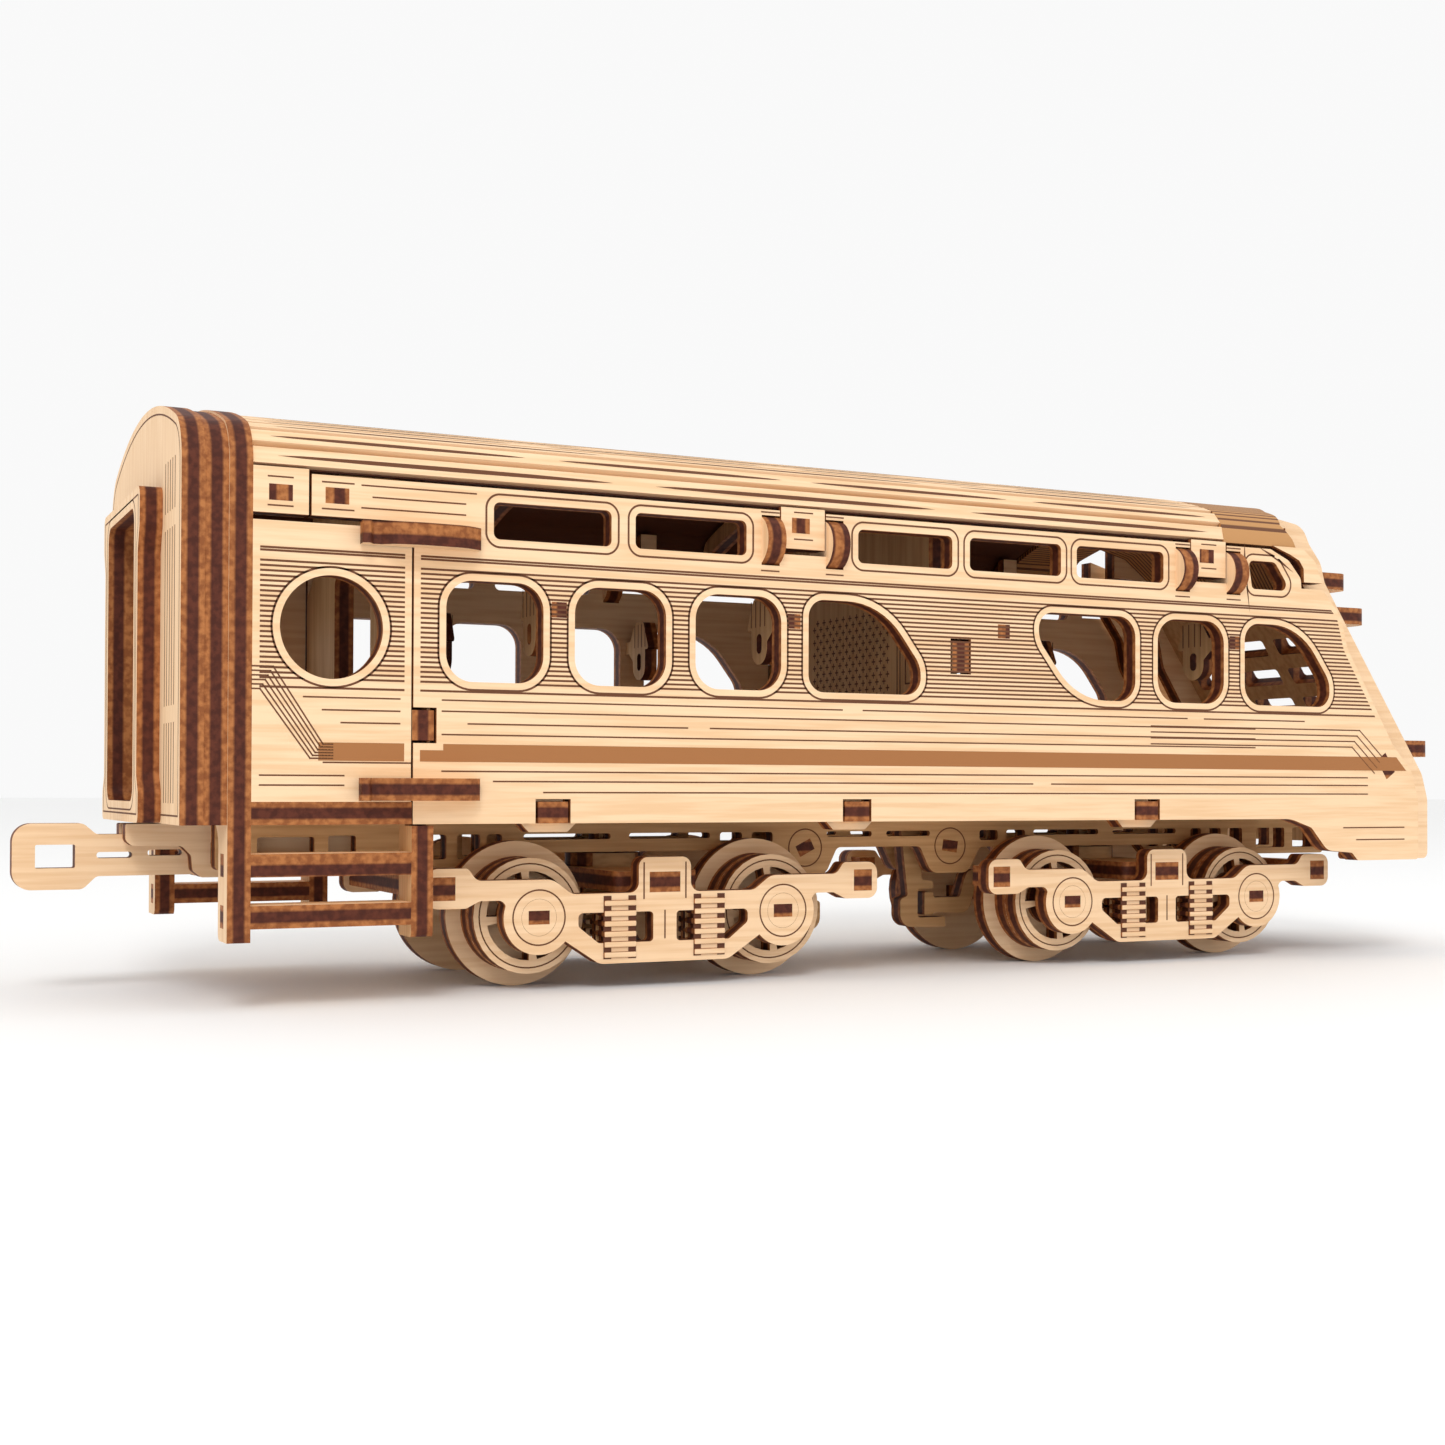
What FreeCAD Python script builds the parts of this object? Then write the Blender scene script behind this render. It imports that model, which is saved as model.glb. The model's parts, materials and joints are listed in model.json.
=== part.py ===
import FreeCAD, Part
import math
import os
import re

import Sketcher

# Plywood model of a streamlined railway observation coach, in millimetres.
# Side plates are drawn as (station, height): the station runs along the coach from the outer face of
# the end wall towards the nose. Cross plates are drawn as (across, height), with 0 on the centre line.

SIZES = {
    # plate stock and fits
    "ply": 4.0,
    "swing_gap": 0.5,
    "seam_gap": 0.2,
    "run_gap": 0.05,
    "rest_gap": 0.3,
    # body shell
    "body_width": 85.6,
    "drawbar_reach": 23.0,
    "nose_reach": 307.6,
    "skirt_low": 32.3,
    "eaves": 94.3,
    "shoulder_radius": 9.0,
    "shoulder_corner": 100.8,
    "crown_slope": 20.0,
    "roof_inset": 0.4,
    "post_low": 12.1,
    "post_width": 8.0,
    "door_half": 17.0,
    "door_low": 36.2,
    "door_top": 89.5,
    "seam": 40.3,
    "door_panel_top": 85.0,
    "arm_low": 86.3,
    "panel_top": 93.5,
    "panel_left": 22.1,
    "panel_front": 285.6,
    "nose_low": 22.6,
    "window_low": 58.0,
    "window_top": 76.4,
    "window_radius": 5.0,
    "porthole_radius": 9.1,
    "partition": 154.6,
    "roof_end": 226.7,
    # top hinges of the side panels
    "hinge_height": 88.0,
    "hinge_depth": 2.0,
    "hinge_pin_radius": 1.0,
    "knuckle_radius": 4.9,
    "hinge_one": 110.3,
    "hinge_two": 212.8,
    "cover_width": 9.8,
    # underframe
    "beam_gap_half": 6.0,
    "boss_offset": 18.7,
    "boss_radius": 6.2,
    "chassis_mid": 156.7,
    "drawbar_pivot": 13.9,
    "drawbar_height": 26.3,
    "drawbar_pin_radius": 1.9,
    # bogies and wheels
    "bogie_spread": 124.4,
    "wheelbase": 52.4,
    "wheel_radius": 14.2,
    "tread_radius": 11.2,
    "bearing_radius": 3.5,
    "frame_gap_half": 28.5,
    "flange_inside": 14.8,
    "lug_offset": 44.9,
    "lug_height": 20.0,
    "kingpin_radius": 3.0,
    "bolster_low": 18.5,
}

doc = FreeCAD.newDocument("observation_coach")
sheet = doc.addObject("Spreadsheet::Sheet", "Sheet")
for row, (alias, value) in enumerate(SIZES.items(), start=1):
    sheet.set("A%d" % row, alias)
    sheet.set("B%d" % row, repr(value))
    sheet.setAlias("B%d" % row, alias)
doc.recompute()


class Sizes:
    """The sheet's values, read back from its cells."""

    def __init__(self):
        for alias in SIZES:
            setattr(self, alias, float(sheet.get(alias)))


s = Sizes()
HALF = s.body_width / 2
PLY = s.ply
MID = (s.nose_reach - s.drawbar_reach) / 2
INSIDE = HALF - PLY - s.swing_gap
MID_TEXT = "(nose_reach - drawbar_reach) / 2"
FLAT, SIDE, CROSS = "flat", "side", "cross"
TURNS = {
    FLAT: FreeCAD.Rotation(),
    SIDE: FreeCAD.Rotation(FreeCAD.Vector(1, 0, 0), 90),
    CROSS: FreeCAD.Rotation(FreeCAD.Vector(1, 1, 1), 120),
}
SMALL = 1e-6
nodes = []


def bound(text):
    """An expression on the sheet's cells, from words that name them."""
    return re.sub(r"[a-z_]{3,}", lambda word: "Sheet." + word.group(), text)


# ---- outlines: each is a list of corners (x, y, radius) -------------------------------------------

def box(x_low, y_low, x_high, y_high, radius=0.0):
    return [(x_low, y_low, radius), (x_high, y_low, radius), (x_high, y_high, radius), (x_low, y_high, radius)]


def turned_box(x, y, width, height, degrees):
    """A rectangle turned about its own centre."""
    cosine, sine = math.cos(math.radians(degrees)), math.sin(math.radians(degrees))
    corners = box(-width / 2, -height / 2, width / 2, height / 2)
    return [(x + u * cosine - v * sine, y + u * sine + v * cosine, 0.0) for u, v, _ in corners]


def disc(x, y, radius):
    return ("circle", x, y, radius)


def mirrored(corners, x=0.0):
    """The same outline on the other side of a line across x."""
    return [(2 * x - corner[0], corner[1], corner[2]) for corner in reversed(corners)]


def both_ways(corners, x=0.0):
    """A whole outline from its right half, which runs from the bottom to the top."""
    return list(corners) + mirrored(corners, x)


def outline_edges(corners):
    """Lines and tangent arcs round a list of corners."""
    ends = []
    for index, (x, y, radius) in enumerate(corners):
        here = FreeCAD.Vector(x, y, 0)
        back = FreeCAD.Vector(*corners[index - 1][:2], 0) - here
        ahead = FreeCAD.Vector(*corners[(index + 1) % len(corners)][:2], 0) - here
        back.normalize()
        ahead.normalize()
        opening = back.getAngle(ahead)
        if radius < SMALL or abs(math.pi - opening) < SMALL:
            ends.append((here, here, None))
            continue
        reach = radius / math.tan(opening / 2)
        centre = here + (back + ahead).normalize() * (radius / math.sin(opening / 2))
        start, finish = here + back * reach, here + ahead * reach
        left_turn = back.cross(ahead).z < 0
        first, last = (start, finish) if left_turn else (finish, start)
        angles = [math.atan2((point - centre).y, (point - centre).x) for point in (first, last)]
        if angles[1] < angles[0]:
            angles[1] += 2 * math.pi
        circle = Part.Circle(centre, FreeCAD.Vector(0, 0, 1), radius)
        ends.append((start, finish, (Part.ArcOfCircle(circle, *angles), left_turn)))
    edges = []
    for index, (start, finish, arc) in enumerate(ends):
        if arc:
            edges.append(arc)
        ahead = ends[(index + 1) % len(ends)][0]
        if finish.distanceToPoint(ahead) > SMALL:
            edges.append((Part.LineSegment(finish, ahead), True))
    return edges


def draw(sketch, loops):
    """Puts closed outlines in a sketch, with their ends joined."""
    for loop in loops:
        if loop[0] == "circle":
            centre = FreeCAD.Vector(loop[1], loop[2], 0)
            sketch.addGeometry(Part.Circle(centre, FreeCAD.Vector(0, 0, 1), loop[3]), False)
            continue
        edges = outline_edges(loop)
        first = sketch.GeometryCount
        sketch.addGeometry([edge for edge, _ in edges], False)
        joints = []
        for index, (_, forward) in enumerate(edges):
            following = (index + 1) % len(edges)
            finish = 2 if forward else 1
            start = 1 if edges[following][1] else 2
            joints.append(Sketcher.Constraint("Coincident", first + index, finish, first + following, start))
        sketch.addConstraint(joints)


def feature(body, kind, name, loops, length):
    """A pad or pocket of one sketch on the body's own XY plane."""
    sketch = body.newObject("Sketcher::SketchObject", name + "_sketch")
    plane = [item for item in body.Origin.OriginFeatures if item.Role == "XY_Plane"][0]
    sketch.AttachmentSupport = [(plane, "")]
    sketch.MapMode = "FlatFace"
    draw(sketch, loops)
    result = body.newObject("PartDesign::" + kind, name)
    result.Profile = sketch
    result.setExpression("Length", bound(length))
    result.Reversed = kind == "Pocket"
    sketch.Visibility = False
    return result


def plate(name, way, at, outline, holes=(), extra=(), thick="ply", along="0", turn=None):
    """A flat plate: its outline and holes, lying flat, along the side, or across the coach.

    at is the low face's place along the plate's own normal; along moves its drawing.
    """
    body = doc.addObject("PartDesign::Body", name)
    if extra:
        feature(body, "Pad", name + "_pad", [outline], thick)
        for index, loop in enumerate(extra):
            feature(body, "Pad", "%s_more_%d" % (name, index), [loop], thick)
        if holes:
            feature(body, "Pocket", name + "_holes", list(holes), thick)
    else:
        feature(body, "Pad", name + "_pad", [outline] + list(holes), thick)
    body.Placement = FreeCAD.Placement(FreeCAD.Vector(), turn or TURNS[way])
    shift = "%s - %s" % (along, MID_TEXT)
    if way == FLAT:
        body.setExpression("Placement.Base.x", bound(shift))
        body.setExpression("Placement.Base.z", bound(at))
    elif way == SIDE:
        body.setExpression("Placement.Base.x", bound(shift))
        body.setExpression("Placement.Base.y", bound("%s + %s" % (at, thick)))
    else:
        body.setExpression("Placement.Base.x", bound("%s - %s" % (at, MID_TEXT)))
    return body


def pin(name, radius, length, base, axis):
    """A round pin whose radius and length are expressions on the sheet."""
    cylinder = doc.addObject("Part::Cylinder", name)
    cylinder.setExpression("Radius", bound(radius))
    cylinder.setExpression("Height", bound(length))
    turn = FreeCAD.Rotation(FreeCAD.Vector(0, 0, 1), axis)
    cylinder.Placement = FreeCAD.Placement(FreeCAD.Vector(*base), turn)
    return cylinder


def keep(name, pieces):
    """Labels a sub-part, made of one piece or of a group of separate ones."""
    if len(pieces) == 1:
        node = pieces[0]
    else:
        node = doc.addObject("Part::Compound", name + "_group")
        node.Links = pieces
    node.Label = name
    nodes.append(node)


def sides(name, at_near, outline, holes=(), **more):
    """The same side plate near and far, as two bodies; at_near is the near one's low face."""
    near = plate(name + "_a", SIDE, at_near, outline, holes, **more)
    far = plate(name + "_b", SIDE, "-(%s) - ply" % at_near, outline, holes, **more)
    return [near, far]


# ---- the arch of the end walls and the roof --------------------------------------------------------

SLOPE = math.radians(s.crown_slope)
CROWN_RADIUS = (HALF - s.shoulder_radius * (1 - math.sin(SLOPE))) / math.sin(SLOPE) * 0.999


def arch(inset, low):
    """The wall's sides and arched top, drawn in by inset, from its left foot to its right one."""
    side = HALF - inset
    drop = inset / math.cos(SLOPE)
    corner = s.shoulder_corner + inset * math.tan(SLOPE) - drop
    apex = s.shoulder_corner + HALF * math.tan(SLOPE) - drop
    shoulder, crown = s.shoulder_radius - inset, CROWN_RADIUS - inset
    return [(-side, low, 0.0), (-side, corner, shoulder), (0.0, apex, crown), (side, corner, shoulder), (side, low, 0.0)]


def crown_height(across, inset):
    """Height of the arch's top at a distance across, drawn in by inset."""
    apex = s.shoulder_corner + HALF * math.tan(SLOPE) - inset / math.cos(SLOPE)
    radius = CROWN_RADIUS - inset
    centre = apex - radius / math.cos(SLOPE)
    return centre + math.sqrt(radius ** 2 - across ** 2)


DOORWAY = box(-s.door_half, s.door_low, s.door_half, s.door_top, 3.0)


def end_walls():
    """Three arched plates; the inner one runs down into the front step posts."""
    keep("end_plate_outer", [plate("end_plate_outer", CROSS, "0 * ply", arch(0, s.skirt_low), [DOORWAY])])
    middle = arch(s.roof_inset, s.skirt_low)
    keep("end_plate_middle", [plate("end_plate_middle", CROSS, "ply", middle, [DOORWAY])])
    post = HALF - s.post_width
    toe, knee = 1.5, 4.0
    top = arch(0, s.post_low)
    foot = [(post, s.post_low, toe), (post, s.skirt_low, knee), (-post, s.skirt_low, knee), (-post, s.post_low, toe)]
    holes = [DOORWAY] + step_slots(-1) + step_slots(1)
    keep("end_plate_inner", [plate("end_plate_inner", CROSS, "2 * ply", top + foot, holes)])


STEP_HEIGHTS = (14.4, 23.3)
STEP_TENON = (3.0, 6.0)


def step_slots(hand):
    """Slots for the step boards' tenons in a post, near (-1) or far (1)."""
    inner, outer = HALF - STEP_TENON[1], HALF - STEP_TENON[0]
    low, high = (inner, outer) if hand > 0 else (-outer, -inner)
    return [box(low, height, high, height + PLY) for height in STEP_HEIGHTS]


def gangway():
    """The door frame of the gangway, with a wider head and foot."""
    foot, waist = s.door_half + 6.5, s.door_half + 4.5
    right = [
        (foot, s.skirt_low + 0.1, 1.5), (foot, 38.0, 1.5), (waist, 41.0, 2.0),
        (waist, 81.0, 2.0), (foot, 85.5, 2.0), (foot, 92.6, 2.0),
    ]
    keep("gangway_frame", [plate("gangway_frame", CROSS, "-ply", both_ways(right), [DOORWAY])])


# ---- floor, steps and fixed side panels ------------------------------------------------------------

TABS = ((64.2, 70.1), (129.2, 134.8), (202.0, 207.9))
FLOOR_END = 262.0
NOSE_STEP = 238.0


def bogie_stations():
    middle = s.chassis_mid
    return (middle - s.bogie_spread / 2, middle + s.bogie_spread / 2)


def floor():
    """The floor, full width at the entrance and with tabs through the skirts behind it."""
    narrow = INSIDE - 4.2
    low_side = [(12.0, -HALF, 0.0), (s.seam, -HALF, 0.0), (s.seam, -INSIDE, 0.0)]
    for left, right in TABS:
        low_side += [(left, -INSIDE, 0.0), (left, -HALF, 0.0), (right, -HALF, 0.0), (right, -INSIDE, 0.0)]
    low_side += [(NOSE_STEP, -INSIDE, 0.0), (NOSE_STEP, -narrow, 0.0), (FLOOR_END, -narrow, 0.0)]
    high_side = [(x, -y, radius) for x, y, radius in reversed(low_side)]
    bores = [disc(station, 0.0, s.kingpin_radius + s.run_gap) for station in bogie_stations()]
    keep("floor_plate", [plate("floor_plate", FLAT, "skirt_low", low_side + high_side, bores)])
    catches = []
    for index, (left, right) in enumerate(TABS):
        shape = [(left - 1.8, s.skirt_low, 0.0), (left - 0.2, 30.6, 0.4), (right + 1.6, 30.6, 0.4), (right + 3.4, s.skirt_low, 0.0)]
        catches += sides("floor_catch_%d" % index, "-body_width / 2 + ply + swing_gap", shape)
    keep("floor_catches", catches)


def steps():
    """Two boards a side, held by tenons in the posts before and behind them."""
    boards, posts = [], []
    for hand, side in ((-1, "near"), (1, "far")):
        edge = hand * HALF
        inner = hand * (HALF - s.post_width)
        tenon_in, tenon_out = hand * (HALF - STEP_TENON[1]), hand * (HALF - STEP_TENON[0])
        left, right = 3 * PLY, s.seam
        outline = [
            (left, edge, 0.0), (right, edge, 0.0), (right, tenon_out, 0.0), (right + PLY, tenon_out, 0.0),
            (right + PLY, tenon_in, 0.0), (right, tenon_in, 0.0), (right, inner, 0.0), (left, inner, 0.0),
            (left, tenon_in, 0.0), (left - PLY, tenon_in, 0.0), (left - PLY, tenon_out, 0.0), (left, tenon_out, 0.0),
        ]
        for index, height in enumerate(STEP_HEIGHTS):
            boards.append(plate("step_%s_%d" % (side, index), FLAT, "%s + 0 * ply" % height, outline))
        relief = s.skirt_low - s.rest_gap
        post = [
            (edge, s.post_low, 1.0), (edge, relief, 0.0), (hand * INSIDE, relief, 0.0),
            (hand * INSIDE, s.skirt_low, 0.0), (inner, s.skirt_low, 0.0), (inner, s.post_low, 1.0),
        ]
        posts.append(plate("rear_post_" + side, CROSS, "seam", post, step_slots(hand)))
    keep("step_boards", boards)
    keep("rear_step_posts", posts)


PORTHOLE = (25.8, 66.9)


def door_panels():
    """The fixed panels beside the entrance, each with its round window."""
    right = s.seam - s.seam_gap
    outline = box(3 * PLY, s.skirt_low + PLY, right, s.door_panel_top)
    near, far = sides("door_panel", "-body_width / 2", outline, [disc(*PORTHOLE, s.porthole_radius)])
    keep("door_panel_near", [near])
    keep("door_panel_far", [far])


# ---- inner walls, roof and ribs --------------------------------------------------------------------

SWEEP_IN = 9.2
SWEEP_LOW = 80.0


def wall_outline(tenon_low, tenon_high):
    """An inner wall's right half: tenon through the panel, room for the panel's top, and the crown."""
    inner = HALF - SWEEP_IN
    under_roof = PLY + s.roof_inset + 0.1
    middle = 20.0
    return [
        (INSIDE, s.skirt_low + PLY, 0.0), (INSIDE, tenon_low, 0.0), (HALF, tenon_low, 0.0), (HALF, tenon_high, 0.0),
        (INSIDE, tenon_high, 0.0), (INSIDE, SWEEP_LOW, 2.0), (inner, SWEEP_LOW + 3.0, 2.0),
        (inner, crown_height(inner, under_roof), 0.0), (middle, crown_height(middle, under_roof), 0.0),
    ]


BULKHEAD_TENON = (47.3, 52.7)
PARTITION_TENON = (63.1, 69.3)
RIBS = (76.0, 136.0, 186.0)


def inner_walls():
    """The vestibule bulkhead, with its doorway, and the partition between the compartments."""
    doorway = box(-14.0, s.skirt_low + PLY + 0.1, 14.0, 82.0, 2.0)
    outline = both_ways(wall_outline(*BULKHEAD_TENON))
    doorway_open = [corner if corner[1] > 37.0 else (corner[0], 37.4, 0.0) for corner in doorway]
    keep("vestibule_bulkhead", [plate("vestibule_bulkhead", CROSS, "seam", outline, [doorway_open])])
    outline = both_ways(wall_outline(*PARTITION_TENON))
    keep("partition_wall", [plate("partition_wall", CROSS, "partition", outline)])


def roof():
    """The kerf-bent roof sheet and the arched ribs under it."""
    outer = arch(s.roof_inset, s.eaves)
    inner = arch(s.roof_inset + PLY, s.eaves)
    section = outer + list(reversed(inner))
    length = "roof_end - 3 * ply"
    keep("roof_sheet", [plate("roof_sheet", CROSS, "3 * ply", section, thick=length)])
    under, deep = s.roof_inset + PLY + 0.1, 3.6
    foot = s.eaves + 0.1
    rib = arch(under, foot) + list(reversed(arch(under + deep, foot)))
    keep("roof_ribs", [plate("roof_rib_%d" % index, CROSS, "%s + 0 * ply" % at, rib) for index, at in enumerate(RIBS)])


# ---- the swinging side panels ----------------------------------------------------------------------

KNUCKLE_DROP = 0.5


def hinge_starts():
    return (s.hinge_one, s.hinge_two)


def main_windows():
    """Square, round-ended and half-round windows along the side, from the entrance to the nose."""
    low, high, round_off = s.window_low, s.window_top, s.window_radius
    windows = []
    for left in (46.5, 71.3, 96.1):
        windows.append(box(left, low, left + 18.6, high, round_off))
    sweep, toe = 16.0, 3.5
    windows.append([(120.8, low, 3.5), (146.9, low, toe), (146.9, 64.0, 6.0), (137.5, high, sweep), (120.8, high, 3.5)])
    windows.append([(201.7, low, 4.5), (201.7, high, 4.5), (176.2, high, toe), (176.2, 70.5, 6.0), (186.0, low, sweep)])
    windows.append(box(207.8, low, 226.4, high, round_off))
    windows.append([(232.4, low, 4.5), (257.7, low, toe), (257.7, 64.0, 6.0), (248.5, high, sweep), (232.4, high, 4.0)])
    return windows


def upper_windows():
    """The low row of windows under the eaves; the last one follows the nose."""
    low, high, round_off = 84.2, 91.0, 1.2
    spans = ((55.4, 78.6), (83.5, 107.0), (132.1, 154.5), (158.8, 181.9), (186.0, 209.4))
    windows = [box(left, low, right, high, round_off) for left, right in spans]
    windows.append([(234.6, low, 1.0), (246.0, low, 1.5), (241.3, 90.6, 2.0), (233.5, 90.6, 1.2)])
    return windows


CORNER_BLOCKS = ((275.3, 44.6, 3.2, 5.4, 34.0),)


def panel_outline():
    """The panel's edge: skirt with notches for the floor's tabs, nose rim, hinge gaps, arm over the door."""
    left = s.seam + s.seam_gap
    low, top = s.skirt_low, s.panel_top
    gap = s.swing_gap
    knuckle_height = s.hinge_height - KNUCKLE_DROP
    edge = [(left, low, 0.0)]
    for tab_left, tab_right in TABS:
        head = low + PLY + gap
        start, end = tab_left - gap, tab_right + gap
        edge += [(start, low, 0.0), (start, head, 0.0), (end, head, 0.0), (end, low, 0.0)]
    edge += [
        (246.0, low, 8.0), (252.2, 30.3, 2.0), (257.0, 25.0, 4.0), (264.6, 24.4, 1.0), (266.4, s.nose_low, 1.0),
        (s.panel_front, s.nose_low, 0.8), (s.panel_front, 36.6, 4.0), (283.4, 43.6, 5.0), (277.6, 49.4, 5.0),
        (263.2, 71.9, 7.0), (261.2, 79.1, 4.0), (255.7, 85.0, 0.0), (249.2, 85.0, 0.0), (249.0, 87.3, 2.0), (245.4, 91.2, 3.0), (240.0, top, 0.0),
    ]
    for start in reversed(hinge_starts()):
        knuckle_left, cover_left = start, start + PLY
        cover_right = cover_left + s.cover_width + 2 * s.rest_gap
        knuckle_right = cover_right + PLY
        notch = s.hinge_height - 3.0
        disc_low, disc_high = knuckle_height - s.knuckle_radius, knuckle_height + s.knuckle_radius
        edge += [
            (cover_right, top, 0.0), (cover_right, disc_high, 0.0), (knuckle_right, disc_high, 0.0),
            (knuckle_right, disc_low, 0.0), (cover_right, disc_low, 0.0), (cover_right, notch, 0.0),
            (cover_left, notch, 0.0), (cover_left, disc_low, 0.0), (knuckle_left, disc_low, 0.0),
            (knuckle_left, disc_high, 0.0), (cover_left, disc_high, 0.0), (cover_left, top, 0.0),
        ]
    edge += [(s.panel_left, top, 0.0), (s.panel_left, s.arm_low, 0.0), (left, s.arm_low, 0.0)]
    slot_low, slot_high = BULKHEAD_TENON[0] - gap, BULKHEAD_TENON[1] + gap
    slot_right = s.seam + PLY + gap
    edge += [(left, slot_high, 0.0), (slot_right, slot_high, 0.0), (slot_right, slot_low, 0.0), (left, slot_low, 0.0)]
    return edge


LAMPS = (66.7, 116.0, 165.8, 228.0)
LAMP_THICK = 3.0
LAMP_TENON = (70.4, 73.3)
ARM_TENON = (24.5, 28.6, 88.6, 91.4)


def side_panels():
    """The two long panels that swing up on their top hinges, with what rides on them."""
    gap = s.swing_gap
    low, high = PARTITION_TENON
    holes = main_windows() + upper_windows()
    holes.append(box(s.partition - gap, low - gap, s.partition + PLY + gap, high + 1.2 * gap))
    holes += [box(left, LAMP_TENON[0], left + LAMP_THICK, LAMP_TENON[1]) for left in LAMPS]
    holes += [turned_box(*block) for block in CORNER_BLOCKS]
    near, far = sides("side_panel", "-body_width / 2", panel_outline(), holes)
    keep("near_panel", [near])
    keep("far_panel", [far])
    blocks = [sides("corner_block_%d" % index, "-body_width / 2", turned_box(*block)) for index, block in enumerate(CORNER_BLOCKS)]
    keep("near_corner_blocks", [pair[0] for pair in blocks])
    keep("far_corner_blocks", [pair[1] for pair in blocks])
    for hand, side in ((-1, "near"), (1, "far")):
        keep(side + "_hinge_knuckles", knuckles(hand, side))
        keep(side + "_panel_handles", handles(hand, side))
        keep(side + "_wall_lamps", wall_lamps(hand, side))


def knuckles(hand, side):
    """Round plates that stand out of the panel and turn on the hinge pins."""
    axis = hand * (HALF - s.hinge_depth)
    rim = disc(axis, s.hinge_height - KNUCKLE_DROP, s.knuckle_radius)
    bore = disc(axis, s.hinge_height, s.hinge_pin_radius + s.run_gap)
    pieces = []
    for index, start in enumerate(("hinge_one", "hinge_two")):
        far_one = "%s + ply + cover_width + 2 * rest_gap" % start
        for place, at in (("left", start + " + 0"), ("right", far_one)):
            pieces.append(plate("knuckle_%s_%d_%s" % (side, index, place), CROSS, at, rim, [bore]))
    return pieces


HANDLE_HEIGHTS = (36.5, 81.7)


def handles(hand, side):
    """Two spool-shaped pulls whose ends lap over the door panel, just clear of it."""
    lap = s.rest_gap + 0.1
    profile = [
        (30.6, lap, 0.0), (30.4, 3.0, 0.4), (31.7, 3.4, 0.5), (32.5, 1.9, 0.4), (33.9, 2.0, 0.8), (36.5, 3.9, 4.0),
        (41.0, 4.5, 12.0), (49.5, 4.0, 8.0), (52.5, 1.8, 0.8), (52.5, 0.0, 0.0), (s.seam + s.seam_gap, 0.0, 0.0),
        (s.seam + s.seam_gap, lap, 0.0),
    ]
    outline = [(station, hand * (HALF + out), radius) for station, out, radius in profile]
    return [plate("handle_%s_%d" % (side, index), FLAT, "%s + 0 * ply" % height, outline) for index, height in enumerate(HANDLE_HEIGHTS)]


def wall_lamps(hand, side):
    """Fluted lamp shades on hooked brackets, fixed by a tenon through the panel."""
    low, high = LAMP_TENON
    depth = [
        (0.0, low, 0.0), (6.2, low, 0.0), (8.6, 68.5, 0.5), (8.6, 64.0, 3.4), (15.6, 64.0, 3.4), (15.6, 71.0, 0.0),
        (17.6, 71.0, 0.6), (14.6, 77.4, 1.0), (9.6, 77.4, 1.0), (6.8, high, 0.5), (0.0, high, 0.0),
    ]
    outline = [(hand * (HALF - inward), height, radius) for inward, height, radius in depth]
    eye_low, eye_high = 66.2, 70.2
    eye = [hand * (HALF - 11.0), hand * (HALF - 13.2)]
    hole = box(min(eye), eye_low, max(eye), eye_high, 1.0)
    return [
        plate("lamp_%s_%d" % (side, index), CROSS, "%s + 0 * ply" % left, outline, [hole], thick="0.75 * ply")
        for index, left in enumerate(LAMPS)
    ]


def hinge_covers():
    """Fixed cover plates between the knuckles, the brackets behind them, and the plain corner covers."""
    pieces, pins = [], []
    tenon_low, tenon_high = s.hinge_height + 1.3, s.hinge_height + 4.3
    for hand, side in ((-1, "near"), (1, "far")):
        low_y = -HALF if hand < 0 else HALF - PLY
        for index, start in enumerate(hinge_starts()):
            left = start + PLY + s.rest_gap
            bracket = left + (s.cover_width - PLY) / 2
            outline = box(left, s.hinge_height - 1.8, left + s.cover_width, s.eaves)
            hole = box(bracket, tenon_low, bracket + PLY, tenon_high)
            at = "-body_width / 2" if hand < 0 else "body_width / 2 - ply"
            cover = plate("cover_blank_%s_%d" % (side, index), SIDE, at, outline, [hole])
            length = s.cover_width + 2 * s.rest_gap + 2 * PLY
            base = (start - MID, hand * (HALF - s.hinge_depth), s.hinge_height)
            text = "cover_width + 2 * rest_gap + 2 * ply"
            bore = pin("cover_bore_%s_%d" % (side, index), "hinge_pin_radius", text, base, FreeCAD.Vector(1, 0, 0))
            cut = doc.addObject("Part::Cut", "cover_%s_%d" % (side, index))
            cut.Base, cut.Tool = cover, bore
            pieces.append(cut)
            pins.append(pin("hinge_pin_%s_%d" % (side, index), "hinge_pin_radius", text, base, FreeCAD.Vector(1, 0, 0)))
            depth = [
                (0.0, tenon_low), (PLY, tenon_low), (PLY, 86.5), (9.5, 86.5), (9.5, 98.5), (7.2, 98.2), (5.3, 96.2),
                (PLY + 0.8, s.eaves), (PLY, s.eaves), (PLY, tenon_high), (0.0, tenon_high),
            ]
            shape = [(hand * (HALF - inward), height, 0.0) for inward, height in depth]
            at = "%s + ply + rest_gap + (cover_width - ply) / 2" % ("hinge_one", "hinge_two")[index]
            pieces.append(plate("bracket_%s_%d" % (side, index), CROSS, at, shape))
        corner = box(3 * PLY, 86.3, 21.6, s.eaves)
        pieces.append(plate("corner_cover_" + side, SIDE, "-body_width / 2" if hand < 0 else "body_width / 2 - ply", corner))
    keep("hinge_covers", pieces)
    keep("hinge_pins", pins)


# ---- the nose --------------------------------------------------------------------------------------

NOSE_TOP = (254.0, 98.0)
SIDE_ADVANCE, INNER_ADVANCE, FRONT_ADVANCE = 0.0, 6.5, 8.0
INNER_AT = 12.0
NOSE_LINE_LOW, NOSE_LINE_HIGH = (288.1, 48.0), (261.4, 86.5)


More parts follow.
